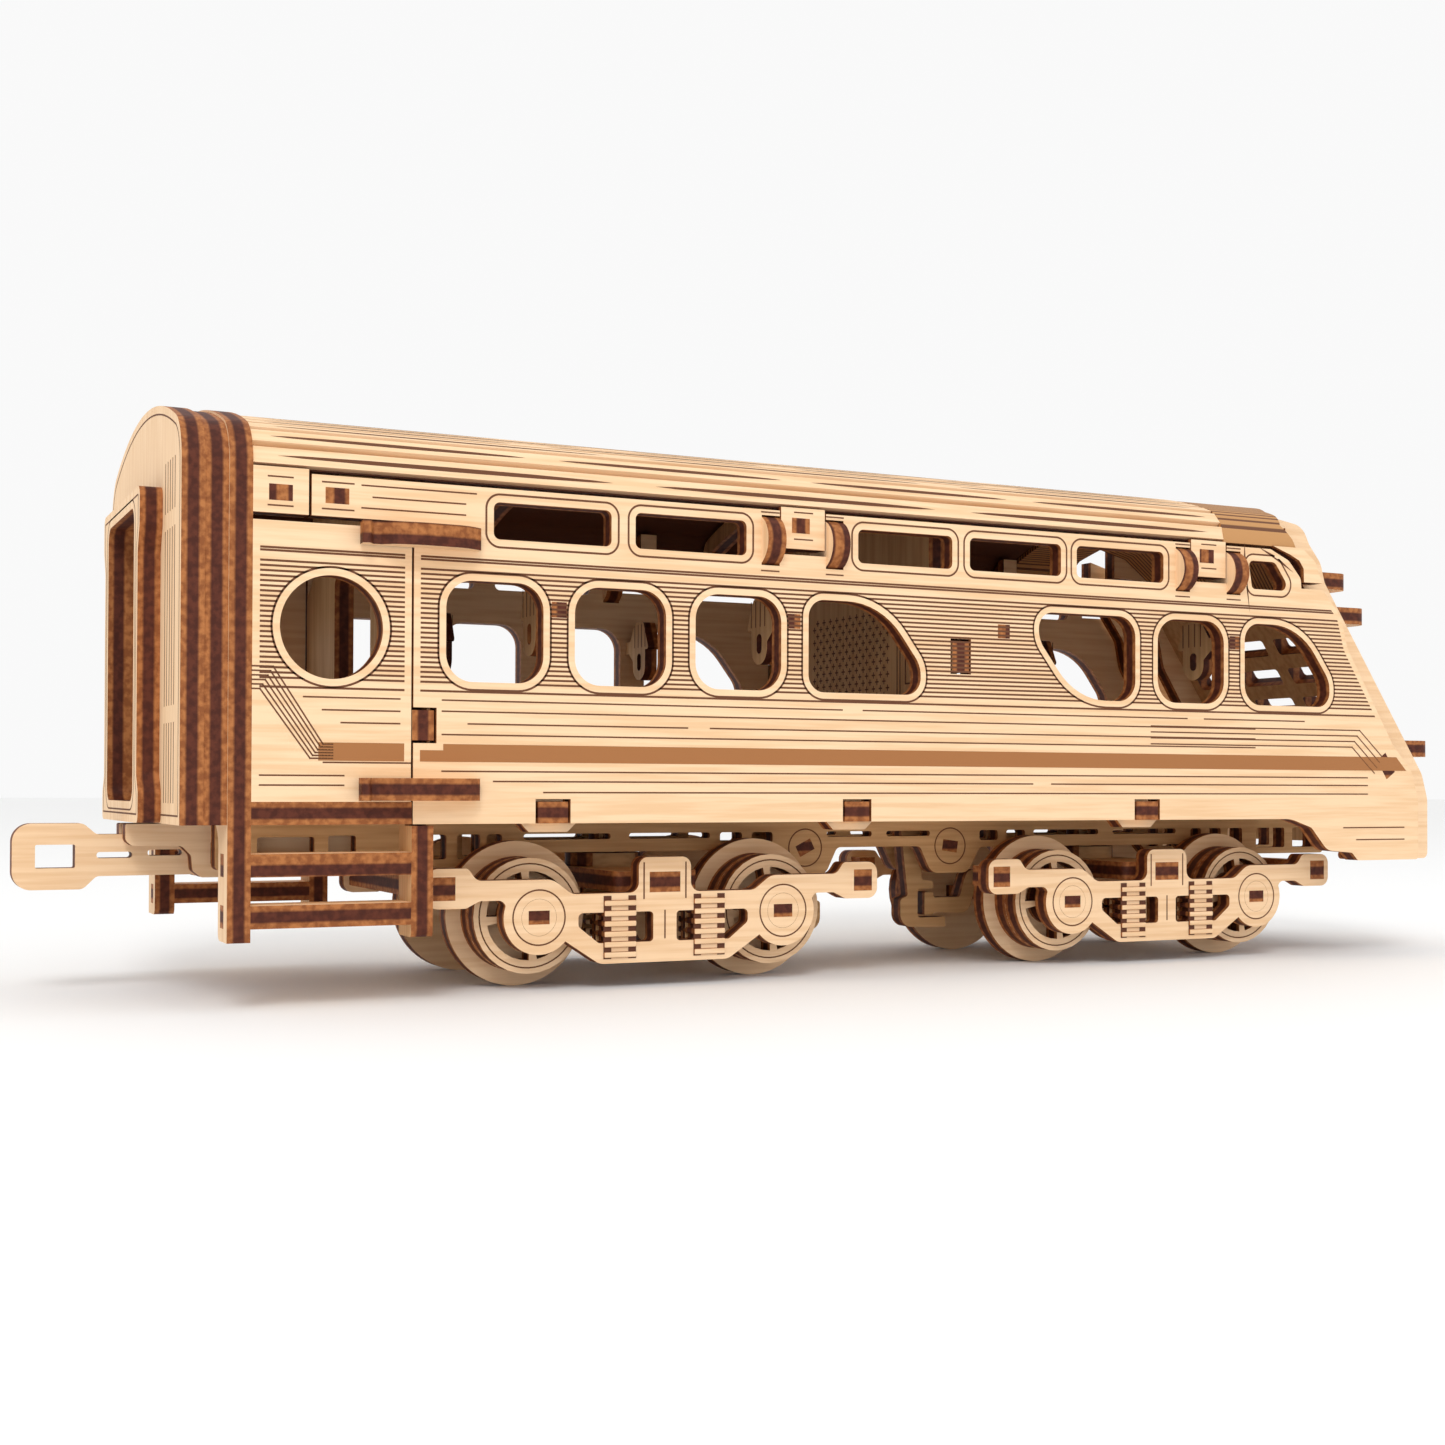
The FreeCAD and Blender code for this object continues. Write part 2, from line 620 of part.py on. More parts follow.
def nose_frame(advance, start, top, low, back):
    """A profile plate of the nose: its rim follows the sloped front, advanced towards the nose."""
    outer = [
        (293.4 + advance, low, 1.5), (293.4 + advance, 36.8, 6.0), (291.6 + advance, 42.8, 5.0),
        (265.8 + advance, 79.9, 8.0), (260.6 + advance, 87.4, 3.0), (259.4 + advance, 91.8, 5.0),
        (254.4 + advance, top - 1.6, 5.0), (start, top, 0.0),
    ]
    inner = [
        (start, s.eaves + 0.4, 0.0), (253.6 + back, s.eaves, 0.0), (253.6 + back, 86.8, 3.0), (259.4 + back, 79.0, 4.0),
        (261.0 + back, 71.5, 6.0), (275.6 + back, 48.9, 5.0), (279.6 + back, 43.0, 4.0), (281.4 + back, 36.0, 4.0),
        (281.4 + back, low + PLY, 3.0), (270.0 + back, low + PLY, 1.0), (268.0 + back, low, 1.0),
    ]
    return outer + inner


def nose():
    """Profile plates, sloped front plate, hood, apron and the three cross fins."""
    outline = nose_frame(SIDE_ADVANCE, 248.6, 99.4, s.nose_low, 0.0)
    keep("nose_side_plates", sides("nose_side", "-body_width / 2 + ply + swing_gap", outline))
    outline = nose_frame(INNER_ADVANCE, 250.6, 103.2, s.nose_low + 3.0, 6.0)
    keep("nose_inner_plates", sides("nose_inner", "-body_width / 2 + %s" % INNER_AT, outline))
    front_plate()
    hood()
    roof_sides()
    shoulder_plates()
    half = HALF - INNER_AT - PLY
    apron = [
        (299.9, s.nose_low + 3.0, 0.0), (299.9, 36.8, 6.0), (298.1, 42.8, 5.0), (295.2, 47.0, 0.0),
        (290.9, 45.2, 0.0), (294.4, 41.5, 2.0), (295.9, 36.3, 3.0), (295.9, s.nose_low + 3.0, 0.0),
    ]
    width = "body_width - 2 * ply - %s" % (2 * INNER_AT)
    at = "-body_width / 2 + %s + ply" % INNER_AT
    keep("nose_apron", [plate("nose_apron", SIDE, at, apron, thick=width)])
    fins = []
    for index, (height, tip, root) in enumerate(((47.3, 307.6, 296.6), (79.5, 286.3, 274.6), (87.7, 280.3, 269.4))):
        inner, nib = half - s.rest_gap, 3.5
        fin = [(root, -inner, 0.0), (tip, -inner, nib), (tip, inner, nib), (root, inner, 0.0)]
        fins.append(plate("nose_fin_%d" % index, FLAT, "%s + 0 * ply" % height, fin))
    keep("nose_fins", fins)


def front_plate():
    """The sloped front: a plate with three columns of four slots, standing between the inner plates."""
    (x_low, z_low), (x_high, z_high) = NOSE_LINE_LOW, NOSE_LINE_HIGH
    length = math.hypot(x_high - x_low, z_high - z_low)
    lean = math.degrees(math.atan2(z_high - z_low, x_low - x_high))
    half = HALF - INNER_AT - PLY
    slots = []
    pitch, tall, wide, first = 8.6, 4.6, 13.4, 7.0
    for column in (-1, 0, 1):
        middle = column * 17.2
        for row in range(4):
            low = first + row * pitch
            slots.append(box(low, middle - wide / 2, low + tall, middle + wide / 2, 0.8))
    turn = FreeCAD.Rotation(FreeCAD.Vector(0, 1, 0), lean - 180)
    body = plate("nose_front_plate", FLAT, "0 * ply", box(0.0, -half, length, half), slots, turn=turn)
    body.setExpression("Placement.Base.x", bound("%s - %s" % (x_low + FRONT_ADVANCE - 1.2, MID_TEXT)))
    body.setExpression("Placement.Base.z", bound("%s + 0 * ply" % z_low))
    keep("nose_front_plate", [body])


HOOD = ((226.8, 105.6, 3.4), (244.0, 105.2, 3.0), (254.0, 102.6, 2.2), (262.0, 96.6, 1.4), (267.6, 89.0, 0.6))


def hood_section(station, edge, rise):
    """A closed band across the hood: an arch of the given rise and 3 mm of thickness."""
    half, thick = HALF - INNER_AT - PLY - 0.1, 3.0
    points = [FreeCAD.Vector(station - MID, across, edge + rise * (1 - (across / half) ** 2)) for across in (-half, 0.0, half)]
    under = [point - FreeCAD.Vector(0, 0, thick) for point in points]
    top = Part.Arc(*points).toShape()
    bottom = Part.Arc(*under).toShape()
    ends = [Part.makeLine(points[2], under[2]), Part.makeLine(under[0], points[0])]
    return Part.Wire([top, ends[0], bottom, ends[1]])


def hood():
    """The bent sheet that carries the roof's crown down to the sloped front."""
    solid = Part.makeLoft([hood_section(*place) for place in HOOD], True, True)
    node = doc.addObject("Part::Feature", "nose_hood")
    node.Shape = solid
    keep("nose_hood", [node])


def shoulder_plates():
    """Fixed corners between the panel's rounded end and the nose rim."""
    outline = [
        (250.0, 86.5, 0.0), (255.6, 86.5, 0.0), (253.4, 91.4, 3.0), (249.4, s.eaves, 1.0), (240.8, s.eaves, 0.0),
        (245.9, 92.6, 2.0), (248.6, 91.4, 1.0), (249.9, 89.6, 0.5),
    ]
    keep("nose_shoulder_plates", sides("nose_shoulder", "-body_width / 2", outline))


def roof_sides():
    """The roof's two shoulders over the nose, cut back along the rim."""
    outer = arch(s.roof_inset, s.eaves)
    inner = arch(s.roof_inset + PLY, s.eaves)
    half = HALF - INNER_AT - PLY
    edges = [edge.toShape() for edge, _ in outline_edges(outer + list(reversed(inner)))]
    face = Part.Face(Part.Wire(Part.sortEdges(edges)[0]))
    face.Placement = FreeCAD.Placement(FreeCAD.Vector(s.roof_end - MID, 0, 0), TURNS[CROSS])
    band = face.extrude(FreeCAD.Vector(24.0, 0, 0))
    rim = [(s.roof_end, 94.0), (248.0, 94.0), (247.0, 96.2), (244.6, 99.4), (246.6, 103.6), (250.4, 105.4), (250.4, 120.0), (s.roof_end, 120.0)]
    corners = [FreeCAD.Vector(station - MID, -s.body_width, height) for station, height in rim]
    prism = Part.Face(Part.makePolygon(corners + corners[:1])).extrude(FreeCAD.Vector(0, 2 * s.body_width, 0))
    middle = Part.makeBox(60.0, 2 * half, 60.0, FreeCAD.Vector(s.roof_end - MID - 10.0, -half, 80.0))
    node = doc.addObject("Part::Feature", "nose_roof_sides")
    node.Shape = band.common(prism).cut(middle)
    keep("nose_roof_sides", [node])


# ---- underframe and drawbar ------------------------------------------------------------------------

PEG = (4.0, 2.6, 12.0)
BEAM_LEFT, BEAM_DEEP_END = 12.0, 71.5


def boss_stations():
    return (s.chassis_mid - s.boss_offset, s.chassis_mid + s.boss_offset)


def beam_outline():
    """Right half of a chassis beam, from the middle of the coach to its end: deep ends, thin middle."""
    middle = s.chassis_mid
    end = 2 * middle - BEAM_LEFT - 14.0
    deep = 2 * middle - BEAM_DEEP_END
    boss = middle + s.boss_offset
    right = [
        (boss - 8.0, 26.0, 1.5), (boss - 5.0, 19.9, 3.0), (boss + 5.0, 19.9, 3.0), (boss + 8.0, 25.7, 1.5),
        (deep, 25.7, 1.5), (deep + 2.5, 23.1, 1.0), (end, 23.1, 1.0), (end, s.skirt_low, 0.0),
    ]
    left = mirrored(right, middle)
    left = [(BEAM_LEFT, s.skirt_low, 0.0), (BEAM_LEFT, 23.1, 1.0)] + left[2:]
    return left + right


def beam_windows():
    """Windows and long slots of a beam, the same each way from the middle of the coach."""
    middle = s.chassis_mid
    low, top, slot_low = 24.6, 29.5, 28.3
    ends = [(183.4, 27.2, 188.4), (190.8, 27.2, 196.0), (244.8, low, 248.0), (249.4, low, 254.2), (256.4, low, 261.0)]
    loops = []
    for left, bottom, right in ends:
        loops.append(box(left, bottom, right, top, 0.6))
    for left, right in ((158.6, 170.0), (198.4, 217.0), (221.2, 240.2)):
        loops.append(box(left, slot_low, right, top, 0.55))
    loops += [mirrored(loop, middle) for loop in loops]
    loops += [box(19.8, 25.9, 30.7, 29.3, 0.5), box(33.4, low, 38.8, top, 0.5)]
    loops += [box(265.5, low, 274.7, top, 0.5), box(277.3, low, 284.5, top, 0.5)]
    return loops


def peg_holes():
    tilt = PEG[2]
    left, right = boss_stations()
    height = 26.0
    return [turned_box(left, height, PEG[0], PEG[1], tilt + 14.0), turned_box(right, height, PEG[0], PEG[1], tilt - 20.0)]


def underframe():
    """Two long beams, the pegs across them, and the hangers that hold the bogies' arms."""
    holes = beam_windows() + peg_holes()
    keep("chassis_beams", sides("beam", "-beam_gap_half - ply", beam_outline(), holes))
    pegs = [
        plate("cross_peg_%d" % index, SIDE, "-beam_gap_half - ply", loop, thick="2 * beam_gap_half + 2 * ply")
        for index, loop in enumerate(peg_holes())
    ]
    keep("chassis_cross_pegs", pegs)
    boss = boss_stations()[1]
    hook = [
        (boss - 8.4, 32.3, 0.0), (boss - 6.2, 14.4, 0.8), (boss - 8.2, 13.6, 0.8), (boss - 8.2, 7.3, 3.0),
        (boss + 4.0, 7.0, 0.3), (boss + 4.0, 9.3, 0.3), (boss - 3.6, 9.3, 0.8), (boss - 3.6, 15.9, 0.8),
        (boss + 0.6, 15.9, 0.3), (boss + 0.6, 17.6, 0.3), (boss - 2.6, 18.0, 0.8), (boss - 2.4, 21.8, 1.0),
        (boss + 4.0, 24.0, 1.0), (boss + 4.0, 32.3, 0.0),
    ]
    holes = peg_holes()
    front = plate("hanger_front", SIDE, "-ply / 2", hook, [holes[1]])
    rear = plate("hanger_rear", SIDE, "-ply / 2", mirrored(hook, s.chassis_mid), [holes[0]])
    keep("hook_hangers", [front, rear])


def drawbar():
    """Two cheeks between the beams, and the tongue that tilts on the peg between them."""
    pivot, height = s.drawbar_pivot, s.drawbar_height
    peg = box(pivot - PLY / 2, height - PLY / 2, pivot + PLY / 2, height + PLY / 2)
    cheek = [
        (-3.6, 31.9, 0.3), (-3.6, 28.8, 1.2), (-2.4, 27.8, 1.0), (6.6, 27.7, 1.5), (8.3, 25.9, 1.0), (8.6, 23.0, 1.0),
        (10.2, 21.7, 1.0), (40.0, 21.7, 1.5), (40.0, 31.9, 0.0),
    ]
    keep("drawbar_cheeks", sides("drawbar_cheek", "-ply / 2 - ply", cheek, [peg]))
    ends = sides("peg_end", "-ply / 2 - ply", peg)
    middle = pin("peg_middle", "drawbar_pin_radius", "ply", (pivot - MID, PLY / 2, height), FreeCAD.Vector(0, -1, 0))
    joined = doc.addObject("Part::MultiFuse", "drawbar_peg_fuse")
    joined.Shapes = ends + [middle]
    keep("drawbar_peg", [joined])
    reach = -s.drawbar_reach
    tongue = [
        (reach, 19.7, 3.4), (-10.6, 19.7, 2.0), (-8.2, 22.1, 1.5), (17.8, 22.2, 3.7), (17.8, 29.9, 3.7),
        (-8.2, 29.9, 1.5), (-10.6, 32.0, 2.0), (reach, 32.0, 3.4),
    ]
    eye = box(-19.0, 23.7, -12.0, 28.05, 0.3)
    slots = [box(-8.2, 25.45, -1.8, 26.6, 0.55), box(1.0, 25.8, 7.3, 26.95, 0.55)]
    bore = disc(pivot, height, s.drawbar_pin_radius + s.run_gap)
    keep("drawbar_tongue", [plate("drawbar_tongue", SIDE, "-ply / 2", tongue, [eye, bore] + slots)])


# ---- bogies ----------------------------------------------------------------------------------------

def side_frame_outline():
    """A bogie side frame about its own middle: tower, lugs and belly; the bosses are added round the axles."""
    belly, arm_top = 4.9, 21.4
    lug, tall = s.lug_offset, 3.75
    height = s.lug_height
    right = [
        (13.8, belly, 3.0), (21.0, 9.6, 1.0), (31.0, 9.6, 1.0), (33.2, 17.6, 1.5), (38.0, 17.6, 1.5),
        (lug - 4.2, height - tall, 1.2), (lug + 3.4, height - tall, 2.2), (lug + 3.4, height + tall, 2.2),
        (lug - 4.6, height + tall, 1.2), (38.6, arm_top, 2.0), (23.4, arm_top, 4.0), (19.6, 18.5, 3.0),
        (5.6, 18.5, 2.0), (5.6, 25.4, 1.9),
    ]
    return both_ways(right)


def frame_holes():
    """Bearing bores, lug slots, the bolster's slot, and the windows beside the two springs."""
    axle = s.wheelbase / 2
    holes = [disc(hand * axle, s.wheel_radius, s.bearing_radius + s.run_gap) for hand in (-1, 1)]
    lug_wide, lug_tall = 4.3, 4.4
    for hand in (-1, 1):
        middle = hand * s.lug_offset
        holes.append(box(middle - lug_wide / 2, s.lug_height - lug_tall / 2, middle + lug_wide / 2, s.lug_height + lug_tall / 2))
    holes.append(box(-3.3, s.bolster_low, 3.3, s.bolster_low + PLY))
    inner = box(2.5, 8.9, 6.9, 14.8, 0.8)
    outer = [(12.3, 8.9, 0.5), (14.0, 8.9, 1.0), (18.2, 12.2, 1.2), (18.2, 14.8, 1.0), (12.3, 14.8, 0.5)]
    for loop in (inner, outer):
        holes += [loop, mirrored(loop)]
    return holes


def bogie(name, station, hand):
    """One bogie: side frames, end beams, bolster, kingpin, spring backs and the arm towards the middle."""
    axle = s.wheelbase / 2
    extra = [disc(side * axle, s.wheel_radius, 7.1) for side in (-1, 1)]
    frames = sides(name + "_frame", "-frame_gap_half - ply", side_frame_outline(), frame_holes(), extra=extra, along=station)
    keep(name + "_side_frames", frames)
    beams = []
    for index, side in enumerate((-1, 1)):
        middle = side * s.lug_offset
        section = box(middle - 2.15, s.lug_height - 2.2, middle + 2.15, s.lug_height + 2.2)
        part = "%s_end_beam_%d" % (name, index)
        if side == hand:
            beams.append(plate(part, SIDE, "-frame_gap_half - ply", section, thick="2 * frame_gap_half + 2 * ply", along=station))
        else:
            stub = "2 * ply"
            beams.append(plate(part + "_near", SIDE, "-frame_gap_half - ply", section, thick=stub, along=station))
            beams.append(plate(part + "_far", SIDE, "frame_gap_half - ply", section, thick=stub, along=station))
    keep(name + "_end_beams", beams)
    inner = s.frame_gap_half
    right = [(3.3, -inner - PLY, 0.0), (3.3, -inner, 0.0), (9.0, -inner, 1.5), (9.0, inner, 1.5), (3.3, inner, 0.0), (3.3, inner + PLY, 0.0)]
    bolster = both_ways(right)
    bore = disc(0.0, 0.0, s.kingpin_radius)
    keep(name + "_bolster", [plate(name + "_bolster", FLAT, "bolster_low", bolster, [bore], along=station)])
    middle = bogie_stations()[1 if hand > 0 else 0] - MID
    up = FreeCAD.Vector(0, 0, 1)
    shaft = pin(name + "_kingpin_shaft", "kingpin_radius", "skirt_low + ply - bolster_low", (middle, 0, s.bolster_low), up)
    collar_top = 2.8
    collar = pin(name + "_kingpin_collar", "kingpin_radius + 5", "%s + 0 * ply" % collar_top, (middle, 0, s.bolster_low + PLY), up)
    joined = doc.addObject("Part::Fuse", name + "_kingpin_fuse")
    joined.Base, joined.Tool = shaft, collar
    keep(name + "_kingpin", [joined])
    backs = []
    for index, side in enumerate((-1, 1)):
        bar = box(side * 9.6 - 3.4, 6.2, side * 9.6 + 3.4, 17.9, 0.5)
        backs += sides("%s_spring_back_%d" % (name, index), "-frame_gap_half + 0 * ply", bar, thick="ply / 2", along=station)
    for index, body in enumerate(backs):
        if index % 2:
            body.setExpression("Placement.Base.y", bound("frame_gap_half"))
    keep(name + "_spring_backs", backs)
    arm = [
        (-9.0, 20.0, 0.0), (-33.6, 20.0, 2.2), (-35.6, 13.8, 0.8), (-42.7, 13.8, 0.5), (-43.0, 15.1, 0.3),
        (-45.2, 15.1, 0.3), (-45.2, 9.9, 0.3), (-43.0, 9.9, 0.3), (-42.7, 10.4, 0.5), (-33.0, 10.0, 3.0),
        (-31.2, 16.9, 1.0), (-9.0, 16.9, 0.0),
    ]
    if hand < 0:
        arm = mirrored(arm)
    keep(name + "_hook_arm", [plate(name + "_hook_arm", SIDE, "-ply / 2", arm, along=station)])
    for index, side in enumerate((-1, 1)):
        wheelset("%s_wheelset_%d" % (name, index + 1), station, side * axle)


def wheelset(name, station, offset):
    """An axle with its bearing discs, and two wheels of two tread discs and a flange disc each."""
    height = s.wheel_radius
    wide, thin = 4.4, 2.8
    bar = box(offset - wide / 2, height - thin / 2, offset + wide / 2, height + thin / 2)
    pieces = [plate(name + "_bar", SIDE, "-frame_gap_half - ply", bar, thick="2 * frame_gap_half + 2 * ply", along=station)]
    pieces += sides(name + "_bearing", "-frame_gap_half - ply", disc(offset, height, s.bearing_radius), [bar], along=station)
    keep(name + "_axle", pieces)
    discs = []
    flange = "-flange_inside - ply"
    discs += sides(name + "_flange", flange, disc(offset, height, s.wheel_radius), [bar], along=station)
    for index in (1, 2):
        at = "%s - %d * ply" % (flange, index)
        discs += sides("%s_tread_%d" % (name, index), at, disc(offset, height, s.tread_radius), [bar], along=station)
    keep(name + "_wheels", discs)


# ---- assembly --------------------------------------------------------------------------------------

end_walls()
gangway()
floor()
steps()
door_panels()
inner_walls()
roof()
side_panels()
hinge_covers()
nose()
underframe()
drawbar()
bogie("rear_bogie", "chassis_mid - bogie_spread / 2", -1)
bogie("front_bogie", "chassis_mid + bogie_spread / 2", 1)
doc.recompute()

faults = [item.Name for item in doc.Objects if "Invalid" in item.State or "Error" in item.State]
for node in nodes:
    if node.Shape.isNull() or not node.Shape.isValid() or not node.Shape.Solids:
        faults.append(node.Label)
if faults:
    raise RuntimeError("failed objects: " + ", ".join(faults))

os.makedirs("parts", exist_ok=True)
for node in nodes:
    node.Shape.exportStep("parts/%s.step" % node.Label)
print("%d sub-parts written" % len(nodes))
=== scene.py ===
"""Visual model of a laser-cut plywood observation coach, dressed round its CAD frame."""

import json
import logging
import math
from collections.abc import Callable
from dataclasses import dataclass, field, replace
from enum import Enum

import bmesh
import bpy
from mathutils import Matrix, Quaternion, Vector

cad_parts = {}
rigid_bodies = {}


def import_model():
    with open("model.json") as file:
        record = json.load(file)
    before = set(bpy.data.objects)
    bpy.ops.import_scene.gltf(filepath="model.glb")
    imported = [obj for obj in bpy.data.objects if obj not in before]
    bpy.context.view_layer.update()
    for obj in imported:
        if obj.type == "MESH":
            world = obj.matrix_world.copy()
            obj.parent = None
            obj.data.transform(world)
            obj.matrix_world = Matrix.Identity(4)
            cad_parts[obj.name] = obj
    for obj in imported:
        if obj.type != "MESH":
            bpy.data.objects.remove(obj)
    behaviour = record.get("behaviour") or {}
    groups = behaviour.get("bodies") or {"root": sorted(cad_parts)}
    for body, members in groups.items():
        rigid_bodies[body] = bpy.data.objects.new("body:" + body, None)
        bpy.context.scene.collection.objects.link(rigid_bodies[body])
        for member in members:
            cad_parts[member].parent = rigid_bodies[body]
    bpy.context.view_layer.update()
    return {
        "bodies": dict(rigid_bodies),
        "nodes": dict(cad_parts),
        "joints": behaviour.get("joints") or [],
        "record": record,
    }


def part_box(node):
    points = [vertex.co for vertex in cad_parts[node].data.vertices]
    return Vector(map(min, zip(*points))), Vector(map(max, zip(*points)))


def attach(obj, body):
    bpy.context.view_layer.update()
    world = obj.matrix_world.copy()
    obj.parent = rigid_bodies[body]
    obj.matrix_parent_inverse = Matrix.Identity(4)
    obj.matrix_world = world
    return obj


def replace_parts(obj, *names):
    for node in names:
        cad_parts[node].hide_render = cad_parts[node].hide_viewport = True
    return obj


LOG = logging.getLogger("coach")
MM = 0.001
PLY = 4 * MM
HAIR = 0.03 * MM
MERGE_DISTANCE = 1e-6
CUT_DISTANCE = 1e-7
LEVEL_SLACK = 1e-5
FACING = 0.99
TURN_STEPS = 48
SIDES = (("near", -1), ("far", 1))
BOGIES = ("rear_bogie", "front_bogie")
ENGRAVED = "birch_ply_engraved"
GEAR = "birch_ply_running_gear"
PLAIN = "birch_ply_plain"
ROOF = "birch_ply_roof"
WHITE = (1.0, 1.0, 1.0)
Colour = tuple[float, float, float]
BMesh = bmesh.types.BMesh
Socket = bpy.types.NodeSocket
Material = bpy.types.Material
Span = tuple[float, float]
Rows = tuple[tuple[float, float, float], ...]


class Way(Enum):
    """The axis that a plate's flat faces look along."""

    CROSS = 0
    SIDE = 1
    FLAT = 2


@dataclass
class Finish:
    """One material in the making, with shorthand for adding its shader nodes."""

    name: str
    roughness: float

    def __post_init__(self) -> None:
        """Makes the material with its plain shader."""
        self.material = bpy.data.materials.new(self.name)
        self.material.use_nodes = True
        self.shader = self.material.node_tree.nodes["Principled BSDF"]
        self.shader.inputs["Roughness"].default_value = self.roughness

    def node(self, kind: str, **settings: str) -> bpy.types.Node:
        """Adds a shader node.

        Args:
            kind: the end of the node's type name.
            **settings: attributes to set on it.

        Returns:
            The new node.
        """
        node = self.material.node_tree.nodes.new("ShaderNode" + kind)
        for key, value in settings.items():
            setattr(node, key, value)
        return node

    def link(self, source: Socket, target: Socket) -> None:
        """Links an output to an input."""
        self.material.node_tree.links.new(source, target)

    def axis(self, output: str, axis: int) -> Socket:
        """Takes one axis of a place or a normal.

        Args:
            output: the coordinate node's output, Object or Normal.
            axis: 0, 1 or 2.

        Returns:
            The value's socket.
        """
        split = self.node("SeparateXYZ")
        self.link(self.node("TexCoord").outputs[output], split.inputs[0])
        return split.outputs[axis]

    def maths(self, operation: str, source: Socket, constant: float = 0.0) -> Socket:
        """Applies one operation to a value.

        Args:
            operation: the operation's name.
            source: the value's socket.
            constant: the second value, where the operation takes two.

        Returns:
            The result's socket.
        """
        node = self.node("Math", operation=operation)
        node.inputs[1].default_value = constant
        self.link(source, node.inputs[0])
        return node.outputs[0]

    def noise(self, scale: float, detail: float, stretch: list | None = None) -> Socket:
        """Makes noise over the object's places.

        Args:
            scale: the noise's scale.
            detail: its levels of detail.
            stretch: a further scale for each axis.

        Returns:
            The noise's socket.
        """
        place = self.node("TexCoord").outputs["Object"]
        if stretch:
            mapping = self.node("Mapping")
            mapping.inputs["Scale"].default_value = stretch
            self.link(place, mapping.inputs["Vector"])
            place = mapping.outputs[0]
        node = self.node("TexNoise")
        node.inputs["Scale"].default_value = scale
        node.inputs["Detail"].default_value = detail
        self.link(place, node.inputs["Vector"])
        return node.outputs[0]

    def ramp(self, source: Socket, stops: list[tuple[float, Colour]]) -> Socket:
        """Turns a value into a colour.

        Args:
            source: the value's socket.
            stops: places and colours, the ramp's two ends first.

        Returns:
            The colour's socket.
        """
        node = self.node("ValToRGB")
        elements = node.color_ramp.elements
        for index, (position, colour) in enumerate(stops):
            stop = elements[index] if index < 2 else elements.new(position)
            stop.position, stop.color = position, (*colour, 1)
        self.link(source, node.inputs[0])
        return node.outputs[0]

    def mix(self, first: Socket, second: Socket, factor: Socket | None = None) -> Socket:
        """Mixes two colours by a factor, or multiplies them when there is none.

        Args:
            first: the first colour's socket.
            second: the second colour's socket.
            factor: the factor's socket.

        Returns:
            The result's socket.
        """
        mode = "MULTIPLY" if factor is None else "MIX"
        node = self.node("Mix", data_type="RGBA", blend_type=mode)
        node.inputs["Factor"].default_value = 1.0
        if factor is not None:
            self.link(factor, node.inputs["Factor"])
        self.link(first, node.inputs["A"])
        self.link(second, node.inputs["B"])
        return node.outputs["Result"]

    def done(self, colour: Socket) -> Material:
        """Takes the colour as the shader's own, and gives the material."""
        self.link(colour, self.shader.inputs["Base Color"])
        return self.material


@dataclass(frozen=True)
class Wood:
    """Colours of one plywood: its veneer face, its cut edge and the edge's dark core."""

    name: str
    face: Colour
    grain: Colour
    veneer: Colour = (0.42, 0.155, 0.045)
    core: Colour = (0.10, 0.022, 0.009)
    soot: Colour = (0.58, 0.48, 0.42)
    roughness: float = 0.62
    gloss: float = 0.25
    face_limit: float = 0.8
    grain_scale: Span = (40.0, 900.0)
    grain_detail: float = 3.0
    grain_stops: Span = (0.36, 0.60)
    veneer_stops: Span = (0.20, 0.80)
    core_stops: Span = (0.30, 0.70)
    soot_scale: float = 800.0
    soot_detail: float = 4.0
    soot_stops: Span = (0.40, 0.62)

    def material(self, way: Way, low: float) -> Material:
        """Makes the plywood for plates that face one way.

        Args:
            way: the axis that the plates' faces look along.
            low: where the plies' low face stands on that axis, in metres.

        Returns:
            A material with pale faces and a three-layer cut edge.
        """
        name = "%s_%s_%d" % (self.name, way.name.lower(), round(low / MM * 10))
        finish = Finish(name, self.roughness)
        finish.shader.inputs["Specular IOR Level"].default_value = self.gloss
        along, across = self.grain_scale
        stretch = [across, across, across]
        stretch[2 if way is Way.CROSS else 0] = along
        grain = finish.noise(1.0, self.grain_detail, stretch)
        face = finish.ramp(grain, list(zip(self.grain_stops, (self.grain, self.face))))
        edge = self._edge(finish, way, low)
        lean = finish.maths("ABSOLUTE", finish.axis("Normal", way.value))
        flat = finish.maths("GREATER_THAN", lean, self.face_limit)
        return finish.done(finish.mix(edge, face, flat))

    def _edge(self, finish: Finish, way: Way, low: float) -> Socket:
        """Draws the cut edge: light veneers either side of a burnt core, under soot.

        Args:
            finish: the material in the making.
            way: the axis that the plates' faces look along.
            low: where the plies' low face stands on that axis, in metres.

        Returns:
            The edge colour's socket.
        """
        across = finish.axis("Object", way.value)
        if way is Way.SIDE and low > 0:
            across = finish.maths("ABSOLUTE", across)
        plies = finish.maths("MULTIPLY", finish.maths("SUBTRACT", across, low), 1 / PLY)
        stops = [(at, self.veneer) for at in self.veneer_stops]
        stops += [(at, self.core) for at in self.core_stops]
        layers = finish.ramp(finish.maths("FRACT", plies), stops)
        blotches = finish.noise(self.soot_scale, self.soot_detail)
        tone = finish.ramp(blotches, list(zip(self.soot_stops, (self.soot, WHITE))))
        return finish.mix(layers, tone)


@dataclass(frozen=True)
class FlatTone:
    """A plain tone, for engraved lines, scorched fills, the burnt core and painted shade."""

    name: str
    colour: Colour
    roughness: float = 0.85

    def material(self) -> Material:
        """Makes the tone as a rough plain material."""
        finish = Finish(self.name, self.roughness)
        finish.shader.inputs["Base Color"].default_value = (*self.colour, 1)
        return finish.material


